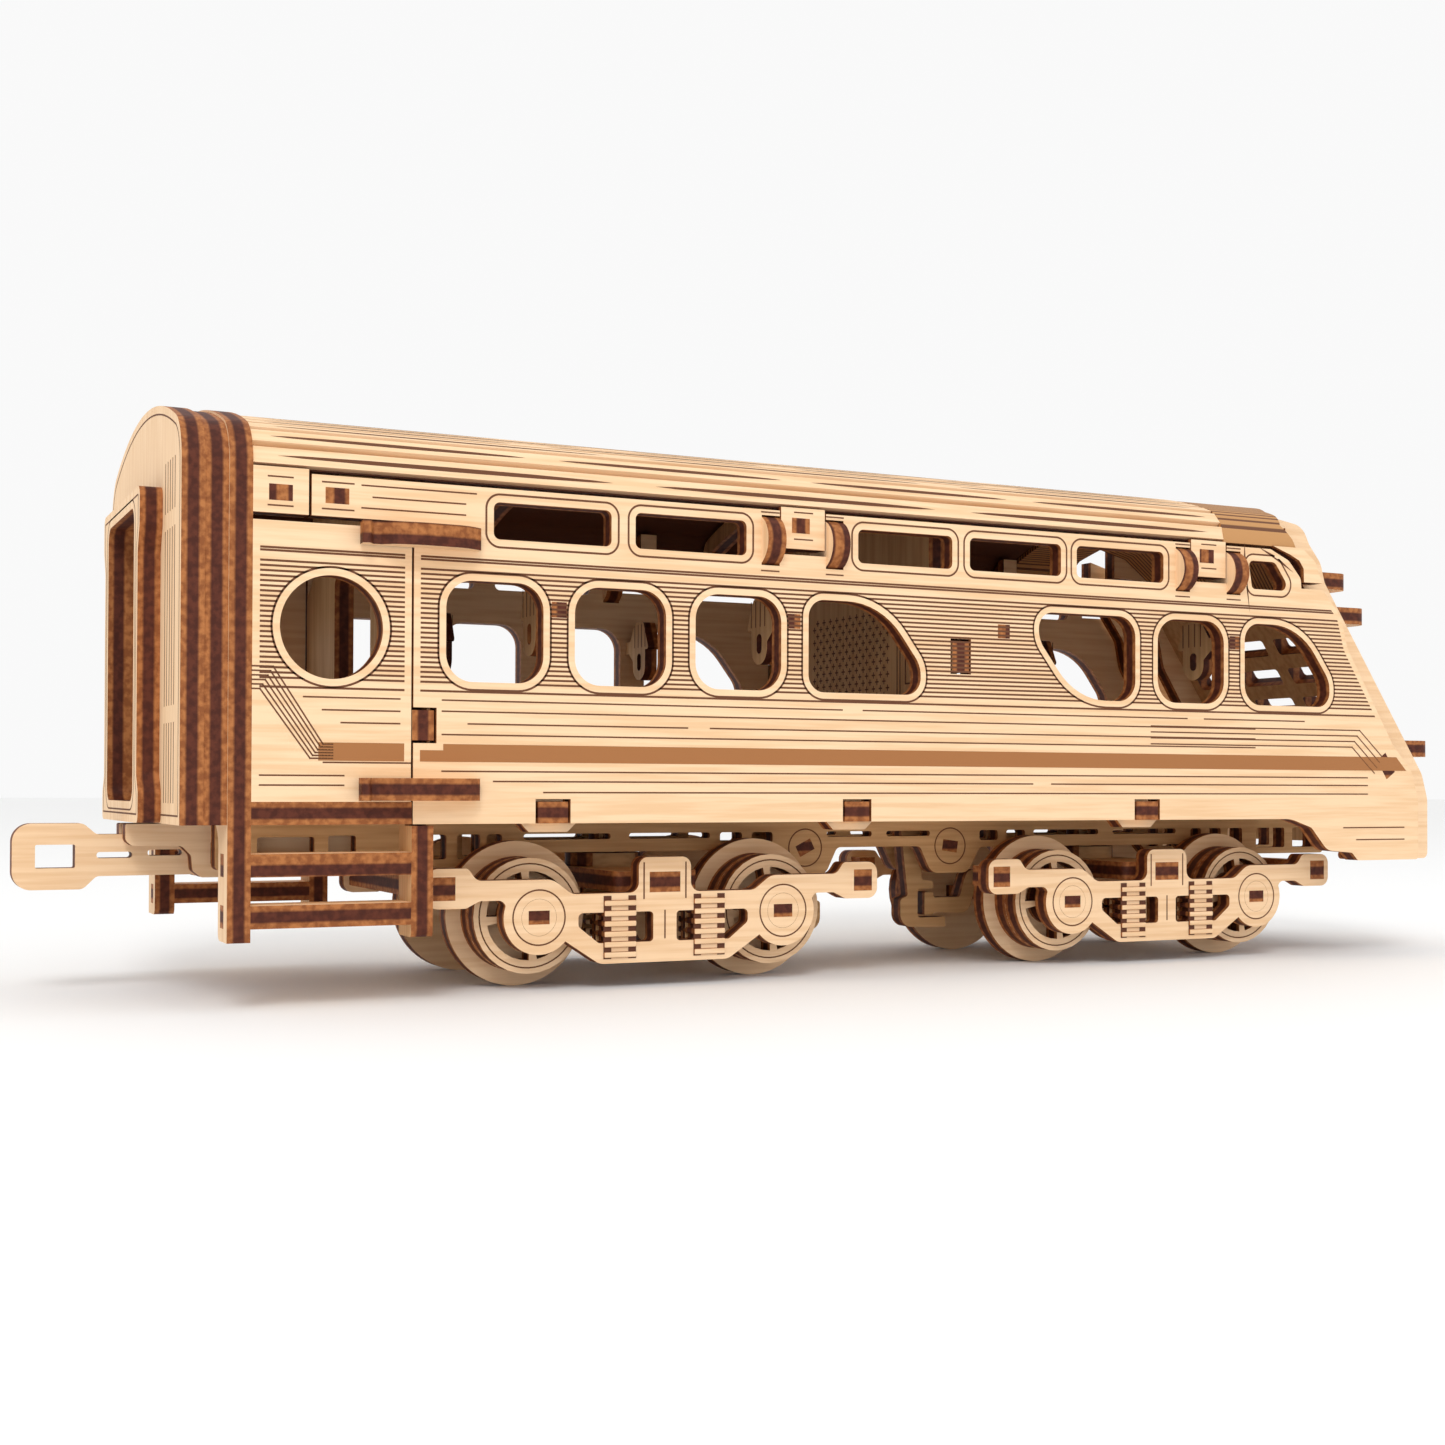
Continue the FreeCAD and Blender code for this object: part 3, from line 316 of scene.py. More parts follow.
@dataclass(frozen=True)
class ScoredWood:
    """Birch scored with close burnt lines along the coach, as on the nose."""

    name: str = "scored_birch"
    pitch: float = 1.1 * MM
    pale: Colour = (0.50, 0.25, 0.09)
    burnt: Colour = (0.14, 0.05, 0.018)
    stops: Span = (0.30, 0.42)
    roughness: float = 0.75

    def material(self) -> Material:
        """Makes the scored finish from bands across the coach."""
        finish = Finish(self.name, self.roughness)
        count = finish.maths("MULTIPLY", finish.axis("Object", 1), 1 / self.pitch)
        bands = list(zip(self.stops, (self.burnt, self.pale)))
        return finish.done(finish.ramp(finish.maths("FRACT", count), bands))


PALE = Wood("pale_birch", (0.88, 0.62, 0.385), (0.79, 0.52, 0.295))
PALE_SLOPES = replace(PALE, name="pale_birch_roof", face_limit=0.05)
# A darker copy of the pale birch for parts inside and under the coach: its darker faces are painted
# shade.
SHADED_BIRCH = Wood("tan_birch", (0.60, 0.36, 0.17), (0.50, 0.28, 0.12))
LINE = FlatTone("engraved_line", (0.13, 0.045, 0.016))
SCORCH = FlatTone("scorched_band", (0.36, 0.145, 0.045))
# Near-black tone: the roof's burnt inner sheet under the kerfs, and painted shade in the open gaps
# of the springs.
DARK = FlatTone("burnt_core", (0.10, 0.03, 0.012))
PAPER = FlatTone("floor_paper", (0.93, 0.93, 0.925))
SCORED = ScoredWood()


@dataclass
class Workshop:
    """Keeps the frame and the finishes, and makes finished pieces from meshes."""

    frame: dict
    made: dict = field(default_factory=dict)

    def wood(self, wood: Wood, way: Way, low: float) -> Material:
        """Gives the plywood for one way and place, made once."""
        key = (wood.name, way, round(low / MM, 2))
        if key not in self.made:
            self.made[key] = wood.material(way, low)
        return self.made[key]

    def flat_tone(self, flat_tone: FlatTone | ScoredWood) -> Material:
        """Gives a flat or scored finish, made once; one flat tone is also painted shade."""
        if flat_tone.name not in self.made:
            self.made[flat_tone.name] = flat_tone.material()
        return self.made[flat_tone.name]

    def piece(
        self, name: str, bm: BMesh, finish: Material, body: str, slot: str
    ) -> bpy.types.Object:
        """Turns a mesh into a piece that rides on a body.

        Args:
            name: the piece's name.
            bm: the finished mesh, which is freed.
            finish: its material.
            body: the body to ride on.
            slot: the record's material slot, not used.

        Returns:
            The new object.
        """
        mesh = bpy.data.meshes.new(name)
        bm.to_mesh(mesh)
        bm.free()
        mesh.materials.append(finish)
        piece = bpy.data.objects.new(name, mesh)
        bpy.context.scene.collection.objects.link(piece)
        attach(piece, body)
        LOG.info("piece %s: %d faces", name, len(mesh.polygons))
        return piece

    def engraving(self, name: str, bm: BMesh, body: str, slot: str) -> None:
        """Turns a mesh of burnt lines into a piece."""
        self.piece(name, bm, self.flat_tone(LINE), body, slot)

    def dress(self, node: str, material: Material) -> None:
        """Gives a CAD node its finish."""
        slots = self.frame["nodes"][node].data.materials
        slots.clear()
        slots.append(material)

    def outer_region(self, node: str, axis: int, sign: int) -> BMesh:
        """Takes the outermost flat face of a node.

        Args:
            node: the CAD node.
            axis: the axis that the face looks along.
            sign: +1 or -1, the way it looks.

        Returns:
            A mesh of that face's triangles, merged.
        """
        bm = bmesh.new()
        bm.from_mesh(self.frame["nodes"][node].data)
        bmesh.ops.remove_doubles(bm, verts=bm.verts[:], dist=MERGE_DISTANCE)
        level = max(sign * vert.co[axis] for vert in bm.verts) - LEVEL_SLACK
        away = [
            one for one in bm.faces
            if sign * one.normal[axis] < FACING
            or min(sign * vert.co[axis] for vert in one.verts) < level
        ]
        bmesh.ops.delete(bm, geom=away, context="FACES")
        return bm


def connected(items: list, neighbours: Callable) -> list[list]:
    """Groups mesh elements that touch, always in the same order.

    Args:
        items: the elements.
        neighbours: a function that gives the elements next to one.

    Returns:
        One list for each separate group.
    """
    left = dict.fromkeys(items)
    groups = []
    while left:
        group, queue = [], [left.popitem()[0]]
        while queue:
            one = queue.pop()
            group.append(one)
            for other in neighbours(one):
                if other in left:
                    del left[other]
                    queue.append(other)
        groups.append(group)
    return groups


def reach(group: list) -> float:
    """Measures how far some edges or faces reach along the coach, in metres."""
    stations = [vert.co.x for one in group for vert in one.verts]
    return max(stations) - min(stations)


def fill_of(bm: BMesh, axis: int, least: float = 0.0) -> BMesh:
    """Fills a region's border again with clean triangles.

    Args:
        bm: a flat region, which is freed.
        axis: the axis that it looks along.
        least: holes shorter than this along the coach are filled over.

    Returns:
        A new mesh of the same region.
    """
    border = [edge for edge in bm.edges if edge.is_boundary]
    loops = connected(border, lambda one: [edge for vert in one.verts for edge in vert.link_edges])
    fresh = bmesh.new()
    places: dict = {}
    for loop in loops:
        if reach(loop) < least:
            continue
        for edge in loop:
            for vert in edge.verts:
                if vert not in places:
                    places[vert] = fresh.verts.new(vert.co)
            fresh.edges.new([places[vert] for vert in edge.verts])
    bm.free()
    normal = [0.0, 0.0, 0.0]
    normal[axis] = 1.0
    bmesh.ops.triangle_fill(fresh, edges=fresh.edges[:], use_beauty=True, normal=normal)
    return fresh


def keep_between(bm: BMesh, axis: int, bands: list[Span]) -> None:
    """Cuts a flat mesh across an axis and keeps only what lies in the bands.

    Args:
        bm: the mesh.
        axis: the axis that the bands are measured on.
        bands: pairs of low and high values.
    """
    normal = Vector((0, 0, 0))
    normal[axis] = 1
    for level in sorted({value for band in bands for value in band}):
        everything = bm.verts[:] + bm.edges[:] + bm.faces[:]
        bmesh.ops.bisect_plane(
            bm, geom=everything, dist=CUT_DISTANCE, plane_co=normal * level, plane_no=normal
        )
    away = []
    for one in bm.faces:
        middle = one.calc_center_median()[axis]
        if not any(low < middle < high for low, high in bands):
            away.append(one)
    bmesh.ops.delete(bm, geom=away, context="FACES")


def keep_rings(bm: BMesh, width: Span) -> None:
    """Keeps only the closed rings that are as wide as a window.

    Args:
        bm: a mesh of separate flat rings.
        width: the least and the most length of a kept ring along the coach.
    """
    faces = bm.faces[:]
    rings = connected(faces, lambda one: [face for edge in one.edges for face in edge.link_faces])
    away = [face for ring in rings if not width[0] < reach(ring) < width[1] for face in ring]
    bmesh.ops.delete(bm, geom=away, context="FACES")


def inset(bm: BMesh, width: float, keep_rim: bool) -> None:
    """Draws a flat region's border in, and keeps either the rim or what is inside it.

    Args:
        bm: the region.
        width: the rim's width, in metres.
        keep_rim: whether the rim is what stays.
    """
    found = bmesh.ops.inset_region(
        bm, faces=bm.faces[:], thickness=width, use_boundary=True, use_even_offset=True
    )
    rim = set(found["faces"])
    away = [one for one in bm.faces if (one in rim) is not keep_rim]
    bmesh.ops.delete(bm, geom=away, context="FACES")


def lift(bm: BMesh, axis: int, sign: int) -> None:
    """Raises a flat mesh a hair off the face it lies on, and turns it outwards.

    Args:
        bm: the flat mesh.
        axis: the axis that the face looks along.
        sign: +1 or -1, the way it looks.
    """
    shift = Vector((0, 0, 0))
    shift[axis] = sign * HAIR
    bmesh.ops.translate(bm, vec=shift, verts=bm.verts[:])
    bm.normal_update()
    turned = [one for one in bm.faces if one.normal[axis] * sign < 0]
    bmesh.ops.reverse_faces(bm, faces=turned)


def face_out(bm: BMesh) -> None:
    """Turns flat faces on the coach's two sides away from its middle."""
    bm.normal_update()
    turned = [one for one in bm.faces if one.normal.y * one.calc_center_median().y < 0]
    bmesh.ops.reverse_faces(bm, faces=turned)


def block(bm: BMesh, along: Span, across: Span, height: Span) -> None:
    """Adds a box.

    Args:
        bm: the mesh.
        along: its ends along the coach, in metres, in either order.
        across: its ends across the coach.
        height: its bottom and top.
    """
    spans = [sorted(span) for span in (along, across, height)]
    size = [high - low for low, high in spans]
    centre = [(high + low) / 2 for low, high in spans]
    matrix = Matrix.Translation(centre) @ Matrix.Diagonal((*size, 1))
    bmesh.ops.create_cube(bm, size=1.0, matrix=matrix)


def extrude(bm: BMesh, faces: list, move: tuple, keep: bool = False) -> None:
    """Pulls faces out into a solid.

    Args:
        bm: the mesh.
        faces: the faces to pull.
        move: how far, on each axis, in metres.
        keep: whether the first faces stay in any case.
    """
    out = bmesh.ops.extrude_face_region(bm, geom=faces, use_keep_orig=keep)["geom"]
    moved = [one for one in out if isinstance(one, bmesh.types.BMVert)]
    bmesh.ops.translate(bm, vec=move, verts=moved)


def discs(bm: BMesh, centre: tuple, radii: list[float], steps: int = TURN_STEPS) -> None:
    """Adds flat rings round an axle, one between each radius and the next.

    Args:
        bm: the mesh.
        centre: the middle, in metres.
        radii: the rings' radii from the inside out.
        steps: the faces round each ring.
    """
    station, level, height = centre
    start = [bm.verts.new((station + radius, level, height)) for radius in radii]
    edges = [bm.edges.new(pair) for pair in zip(start, start[1:])]
    bmesh.ops.spin(
        bm, geom=start + edges, cent=centre, axis=(0, 1, 0),
        angle=2 * math.pi, steps=steps, use_merge=True,
    )


def side_rings(bm: BMesh, middle: tuple, radius: float, width: float) -> None:
    """Adds a thin flat ring on each side of the coach, a hair off the face that it lies on.

    Args:
        bm: the mesh.
        middle: the rings' station, the face's place across the coach and the height, in metres.
        radius: the rings' inner radius.
        width: their width.
    """
    station, outer, height = middle
    for side in (-1, 1):
        discs(bm, (station, side * (outer + HAIR), height), [radius, radius + width])


def middle_of(node: str) -> tuple[float, float, float]:
    """Gives a node's middle along the coach, its outer face and its middle height."""
    low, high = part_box(node)
    return (low[0] + high[0]) / 2, high[1], (low[2] + high[2]) / 2


@dataclass
class SidePanels:
    """The sides' rings round the windows, close stripes between them and dark waist band."""

    shop: Workshop
    stripe_low: float = 57.2 * MM
    stripe_high: float = 79.8 * MM
    pitch: float = 0.88 * MM
    ring_gap: float = 1.25 * MM
    ring_width: Span = (12 * MM, 60 * MM)
    door_ring_width: Span = (12 * MM, 23 * MM)
    slot_length: float = 7 * MM
    line: float = 0.38 * MM
    waist: Span = (43.5 * MM, 46.7 * MM)
    waist_start: float = 23.5 * MM
    waist_reach: float = 1.0
    band_lines: Span = (80.3 * MM, 56.2 * MM)

    def build(self) -> None:
        """Builds the engraving of both panels and both door panels."""
        for side, sign in SIDES:
            self._engrave(side + "_panel", sign, side + "_side_panel", self.ring_width)
            self._engrave("door_panel_" + side, sign, "coach", self.door_ring_width)

    def _engrave(self, node: str, sign: int, body: str, ring_width: Span) -> None:
        """Makes the rings, the stripes and the waist band of one plate.

        Args:
            node: the CAD node of the plate.
            sign: the way its outer face looks, +1 or -1.
            body: the body to ride on.
            ring_width: the least and the most length of a window's ring.
        """
        ring = fill_of(self.shop.outer_region(node, 1, sign), 1, self.slot_length)
        inset(ring, self.ring_gap, keep_rim=False)
        stripes = ring.copy()
        inset(ring, self.line, keep_rim=True)
        keep_rings(ring, ring_width)
        lift(ring, 1, sign)
        self.shop.engraving(node + "_rings", ring, body, ENGRAVED)
        stripes = fill_of(stripes, 1)
        waist = stripes.copy()
        count = int((self.stripe_high - self.stripe_low) / self.pitch)
        levels = [self.stripe_high - index * self.pitch for index in range(count + 1) if index != 1]
        levels += self.band_lines
        half = self.line / 2
        keep_between(stripes, 2, [(level - half, level + half) for level in levels])
        lift(stripes, 1, sign)
        self.shop.engraving(node + "_stripes", stripes, body, ENGRAVED)
        keep_between(waist, 2, [self.waist])
        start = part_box("end_plate_outer")[0][0] + self.waist_start
        keep_between(waist, 0, [(start, start + self.waist_reach)])
        lift(waist, 1, sign)
        self.shop.piece(node + "_waist_band", waist, self.shop.flat_tone(SCORCH), body, ENGRAVED)


@dataclass
class SideStrokes:
    """Chevrons, dashes and tenon ends on the sides, placed in mm from the end wall and rail."""

    shop: Workshop
    width: float = 0.28 * MM
    chevrons: int = 6
    chevron_ends: Span = (12.0, 26.0)
    chevron_bends: Span = (15.6, 24.3)
    chevron_heights: Span = (59.7, 46.4)
    chevron_steps: tuple[float, float, float] = (0.45, 0.78, 0.5)
    door_dashes: Rows = (
        (20.888, 38.0, 54.6), (24.2, 38.0, 52.4), (27.512, 38.0, 50.2),
        (13.4, 28.0, 40.9), (13.4, 28.0, 39.2), (24.4, 40.0, 43.2),
    )
    panel: Span = (41.0, 284.0)
    long_lines: tuple[tuple[float, tuple[float, ...]], ...] = (
        (54.6, (0.02, 0.36, 0.38, 0.72, 0.74, 0.86)),
        (52.6, (0.02, 0.80)),
        (50.4, (0.04, 0.22, 0.24, 0.80)),
        (48.4, (0.02, 0.80)),
        (41.8, (0.02, 0.94)),
        (40.0, (0.06, 0.55, 0.57, 0.94)),
        (38.0, (0.10, 0.94)),
    )
    nose_bend: Span = (267.0, 52.8)
    nose_start: float = 206.0
    nose_steps: Span = (0.8, 1.3)
    nose_drop: Span = (7.0, 6.0)
    panel_dashes: Rows = (
        (31.0, 52.0, 92.2), (33.0, 50.0, 90.2), (24.0, 29.5, 87.6), (24.0, 29.5, 92.3),
        (31.0, 50.0, 88.2), (262.0, 281.0, 30.2), (266.0, 281.0, 27.4),
    )
    knuckles: tuple[float, ...] = (110.3, 124.8, 212.8, 227.3)
    knuckle_width: float = 3.8
    knuckle_marks: Span = (81.5, 93.0)
    cover_dashes: Rows = (
        (117.6, 121.6, 88.1), (117.6, 121.6, 93.4), (220.1, 224.1, 88.1), (220.1, 224.1, 93.4),
        (14.6, 18.8, 87.6), (14.6, 18.8, 92.6),
    )
    cover_tenons: tuple[tuple[Span, Span], ...] = (
        ((117.0, 121.0), (89.3, 92.3)),
        ((219.5, 223.5), (89.3, 92.3)),
        ((14.7, 18.8), (88.5, 91.3)),
    )
    arm_tenon: tuple[Span, Span] = ((24.5, 28.7), (88.6, 91.4))
    tenon_proud: float = 0.04 * MM
    tenon_depth: float = 0.2 * MM

    def build(self) -> None:
        """Builds the strokes and the tenon ends of both sides."""
        for side, sign in SIDES:
            panel = side + "_side_panel"
            self._strokes("door_chevrons_" + side, sign, self._door_paths(), "coach")
            self._strokes(side + "_panel_dashes", sign, self._panel_paths(), panel)
            self._strokes("hinge_marks_" + side, sign, self._dashes(self.cover_dashes), "coach")
            self._tenons("cover_tenons_" + side, sign, self.cover_tenons, "coach")
            self._tenons(side + "_arm_tenon", sign, (self.arm_tenon,), panel)

    @staticmethod
    def _dashes(rows: Rows | list) -> list:
        """Turns rows of first station, last station and height into level paths."""
        return [[(first, height), (last, height)] for first, last, height in rows]

    def _door_paths(self) -> list:
        """Gives the bent lines beside the round window, and the dashes below it."""
        paths = self._dashes(self.door_dashes)
        for index in range(self.chevrons):
            back, drop, rise = (index * step for step in self.chevron_steps)
            high, low = self.chevron_heights[0] - drop, self.chevron_heights[1] - rise
            upper, lower = self.chevron_bends[0] - back, self.chevron_bends[1] - back
            first, last = self.chevron_ends
            paths.append([(first, high), (upper, high), (lower, low), (last, low)])
        return paths

    def _panel_paths(self) -> list:
        """Gives the long broken lines by the waist band, its rise at the nose and the dashes."""
        left, right = self.panel
        paths = []
        for height, cuts in self.long_lines:
            places = [left + (right - left) * cut for cut in cuts]
            paths += [[(one, height), (two, height)] for one, two in zip(places[::2], places[1::2])]
        for index in range(self.chevrons - 2):
            back, down = (index * step for step in self.nose_steps)
            bend, height = self.nose_bend[0] - back, self.nose_bend[1] - down
            end = (bend + self.nose_drop[0], height - self.nose_drop[1])
            paths.append([(self.nose_start, height), (bend, height), end])
        for knuckle in self.knuckles:
            ends = (knuckle, knuckle + self.knuckle_width)
            paths += self._dashes([(*ends, height) for height in self.knuckle_marks])
        return paths + self._dashes(self.panel_dashes)

    def _strokes(self, name: str, sign: int, paths: list, body: str) -> None:
        """Draws straight strokes on a side face as thin flat strips.

        Args:
            name: the piece's name.
            sign: the side of the coach, +1 or -1.
            paths: lists of station and height points.
            body: the body to ride on.
        """
        low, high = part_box("end_plate_outer")
        bm = bmesh.new()
        upright = Matrix.Rotation(math.radians(90), 4, "X")
        for path in paths:
            points = [Vector((low[0] + x * MM, sign * (high[1] + HAIR), z * MM)) for x, z in path]
            for start, end in zip(points, points[1:]):
                way = end - start
                turn = Matrix.Rotation(-math.atan2(way.z, way.x), 4, "Y")
                size = Matrix.Diagonal((way.length + self.width, 1, self.width, 1))
                matrix = Matrix.Translation((start + end) / 2) @ turn @ size @ upright
                bmesh.ops.create_grid(bm, x_segments=1, y_segments=1, size=0.5, matrix=matrix)
        face_out(bm)
        self.shop.engraving(name, bm, body, ENGRAVED)

    def _tenons(self, name: str, sign: int, places: tuple, body: str) -> None:
        """Adds the layered ends of tenons that come through the side.

        Args:
            name: the piece's name.
            sign: the side of the coach, +1 or -1.
            places: for each tenon, its span of stations and its span of heights.
            body: the body to ride on.
        """
        low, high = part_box("end_plate_outer")
        across = (sign * (high[1] + self.tenon_proud), sign * (high[1] - self.tenon_depth))
        bm = bmesh.new()
        for stations, heights in places:
            along = [low[0] + station * MM for station in stations]
            block(bm, along, across, [height * MM for height in heights])
        wood = self.shop.wood(PALE, Way.CROSS, low[0] + 1.0 * MM)
        self.shop.piece(name, bm, wood, body, ENGRAVED)


@dataclass
class EndWall:
    """Engraving of the gangway end: an outline inside the wall's edge and slits down it."""

    shop: Workshop
    inset: float = 1.4 * MM
    line: float = 0.3 * MM
    slits: tuple[float, ...] = (26.5, 29.0, 31.5, 34.0, 36.5)
    slit_heights: tuple[Span, ...] = ((36.0, 50.0), (53.0, 84.0), (87.0, 96.0))
    slit_half: float = 0.2 * MM
    slit_proud: float = 0.04 * MM
    slit_depth: float = 0.5 * MM

    def build(self) -> None:
        """Builds the outlines of the end wall and the gangway frame, and the slits."""
        for node in ("end_plate_outer", "gangway_frame"):
            outline = self.shop.outer_region(node, 0, -1)
            inset(outline, self.inset, keep_rim=False)
            inset(outline, self.line, keep_rim=True)
            lift(outline, 0, -1)
            self.shop.engraving(node + "_outline", outline, "coach", ENGRAVED)
        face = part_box("end_plate_outer")[0][0]
        along = (face - self.slit_proud, face + self.slit_depth)
        bm = bmesh.new()
        for place in self.slits:
            for hand in (-1, 1):
                middle = hand * place * MM
                for bottom, top in self.slit_heights:
                    across = (middle - self.slit_half, middle + self.slit_half)
                    block(bm, along, across, (bottom * MM, top * MM))
        self.shop.engraving("end_wall_slits", bm, "coach", ENGRAVED)


@dataclass
class RoofSheet:
    """The scored roof: flat facets over the arch with open kerfs between them."""

    shop: Workshop
    node: str = "roof_sheet"
    facets: int = 23
    kerf: float = 1.25 * MM
    depth: float = 1.6 * MM
    slit: float = 0.85 * MM
    slit_share: float = 0.44
    slit_lift: float = 0.04 * MM
    thickness: float = 3.0 * MM
    corner: float = 8.5 * MM
    slope: float = 20.0
    steps: int = 8

    def build(self) -> None:
        """Builds the facets that stand for the plain sheet, the dark sheet and the slits."""
        low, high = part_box(self.node)
        half = (high[1] - low[1]) / 2
        outline = self._arch(low[2], high[2], half)
        length = sum((b - a).length for a, b in zip(outline, outline[1:]))
        step = length / self.facets
        facets = []
        for index in range(self.facets):
            start = self._at(outline, index * step + self.kerf / 2)
            end = self._at(outline, (index + 1) * step - self.kerf / 2)
            facets.append((start, end))
        slabs = []
        for start, end in facets:
            way = (end - start).normalized()
            inward = Vector((0, way.z, -way.y)) * self.depth
            slabs.append((start, end, end + inward, start + inward))
        wood = self.shop.wood(PALE_SLOPES, Way.FLAT, 0.0)
        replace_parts(self._slabs("roof_facets", slabs, wood), self.node)
        outer = self._arch(low[2], high[2], half, self.depth)
        inner = self._arch(low[2], high[2], half, self.thickness)
        slabs = [(a, b, d, c) for a, b, c, d in zip(outer, outer[1:], inner, inner[1:])]
        self._slabs("roof_inner_sheet", slabs, self.shop.flat_tone(DARK))
        self._slits(facets, low[0], high[0] - low[0])

    def _slabs(self, name: str, slabs: list, finish: Material) -> bpy.types.Object:
        """Makes a piece of slabs that run the length of the roof.

        Args:
            name: the piece's name.
            slabs: the corners of each slab's end.
            finish: their material.

        Returns:
            The new object.
        """
        low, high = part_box(self.node)
        bm = bmesh.new()
        for corners in slabs:
            verts = [bm.verts.new((low[0], corner.y, corner.z)) for corner in corners]
            extrude(bm, [bm.faces.new(verts)], (high[0] - low[0], 0, 0))
        bmesh.ops.recalc_face_normals(bm, faces=bm.faces[:])
        return self.shop.piece(name, bm, finish, "coach", ROOF)

    def _slits(self, facets: list, first: float, length: float) -> None:
        """Adds long lens-shaped cuts down the facets, staggered from one to the next.

        Args:
            facets: the first and last point of each facet across the coach.
            first: where the roof begins, in metres.
            length: the roof's length.
        """
        bm = bmesh.new()
        for index, (start, end) in enumerate(facets):
            outward = Vector((0, -(end - start).z, (end - start).y)).normalized()
            middle = (start + end) / 2 + outward * self.slit_lift
            turn = Vector((0, 0, 1)).rotation_difference(outward).to_matrix().to_4x4()
            count = 3 + index % 2
            for place in range(count):
                station = first + length * (place + 0.5) / count
                size = Matrix.Diagonal((length / count * self.slit_share, self.slit / 2, 1, 1))
                matrix = Matrix.Translation((station, middle.y, middle.z)) @ turn @ size
                bmesh.ops.create_circle(bm, cap_ends=True, segments=12, radius=1.0, matrix=matrix)
        self.shop.engraving("roof_slits", bm, "coach", ROOF)

    def _arch(self, low: float, high: float, half: float, drawn_in: float = 0.0) -> list[Vector]:
        """Gives points over the arch from the near eaves to the far one.

        Args:
            low: the eaves' height, in metres.
            high: the crown's height.
            half: half the roof's width.
            drawn_in: how far the arch lies inside the outer one.

        Returns:
            The points, all at station 0.
        """
        high, half = high - drawn_in, half - drawn_in
        radius = self.corner - drawn_in
        angle = math.radians(self.slope)
        shoulder = half - radius + radius * math.sin(angle)
        corner = high - shoulder * math.tan(angle / 2) - radius * math.cos(angle)
        points = [Vector((0, -half, low))]
        for index in range(self.steps + 1):
            turn = math.pi - index / self.steps * (math.pi / 2 - angle)
            across = -half + radius + radius * math.cos(turn)
            points.append(Vector((0, across, corner + radius * math.sin(turn))))
        reached = -points[-1].y
        rise = high - points[-1].z
        crown = (reached ** 2 + rise ** 2) / (2 * rise)
        for index in range(1, 2 * self.steps):
            across = -reached + reached * index / self.steps
            points.append(Vector((0, across, high - crown + math.sqrt(crown ** 2 - across ** 2))))
        return points + [Vector((0, -one.y, one.z)) for one in reversed(points[:self.steps + 2])]

    @staticmethod
    def _at(outline: list[Vector], distance: float) -> Vector:
        """Gives the point at a distance along a line of points.

        Args:
            outline: the points.
            distance: how far along them, in metres.

        Returns:
            The point.
        """
        for a, b in zip(outline, outline[1:]):
            length = (b - a).length
            if distance <= length:
                return a + (b - a) * (distance / length)
            distance -= length
        return outline[-1]


@dataclass
class Springs:
    """Cut coil springs in the bogies' side frames: crosswise loops with painted shade in the open
    gaps between.
    """

    shop: Workshop
    spread: float = 9.6 * MM
    loop_wide: float = 6.8 * MM
    stem_wide: float = 3.6 * MM
    pitch: float = 2.0 * MM
    loop_tall: float = 1.15 * MM
    loops: int = 6
    low: float = 6.0 * MM
    proud: float = 0.5 * MM
    rounding: float = 0.3 * MM
    shade_reach: Span = (0.2 * MM, 0.1 * MM)

    def build(self) -> None:
        """Builds the springs of both bogies, and the painted shade in the open gaps beside their
        stems.
        """
        inward, outward = self.shade_reach
        for bogie in BOGIES:
            middle, outer, _ = middle_of(bogie + "_side_frames")
            loops, gap_shade = bmesh.new(), bmesh.new()
            for hand, side in ((-1, -1), (-1, 1), (1, -1), (1, 1)):
                station = middle + hand * self.spread
                along = (station - self.loop_wide / 2, station + self.loop_wide / 2)
                across = (side * (outer + self.proud), side * (outer - 2 * PLY + self.proud))
                for index in range(self.loops):
                    bottom = self.low + index * self.pitch
                    block(loops, along, across, (bottom, bottom + self.loop_tall))
                # Dark slabs beside the stems, between the loops, are painted shade in the open
                # gaps.
                across = (side * (outer - inward), side * (outer + outward))
                height = (self.low - inward, self.low + self.loops * self.pitch)
                for way in (-1, 1):
                    ends = [station + way * width / 2 for width in (self.stem_wide, self.loop_wide)]
                    block(gap_shade, ends, across, height)
            bmesh.ops.bevel(
                loops, geom=loops.edges[:], offset=self.rounding, offset_type="OFFSET",
                affect="EDGES", segments=2, profile=0.5, material=-1,
            )
            wood = self.shop.wood(PALE, Way.SIDE, outer - PLY)
            self.shop.piece(bogie + "_springs", loops, wood, bogie, GEAR)
            self.shop.piece(bogie + "_spring_gaps", gap_shade, self.shop.flat_tone(DARK), bogie, GEAR)


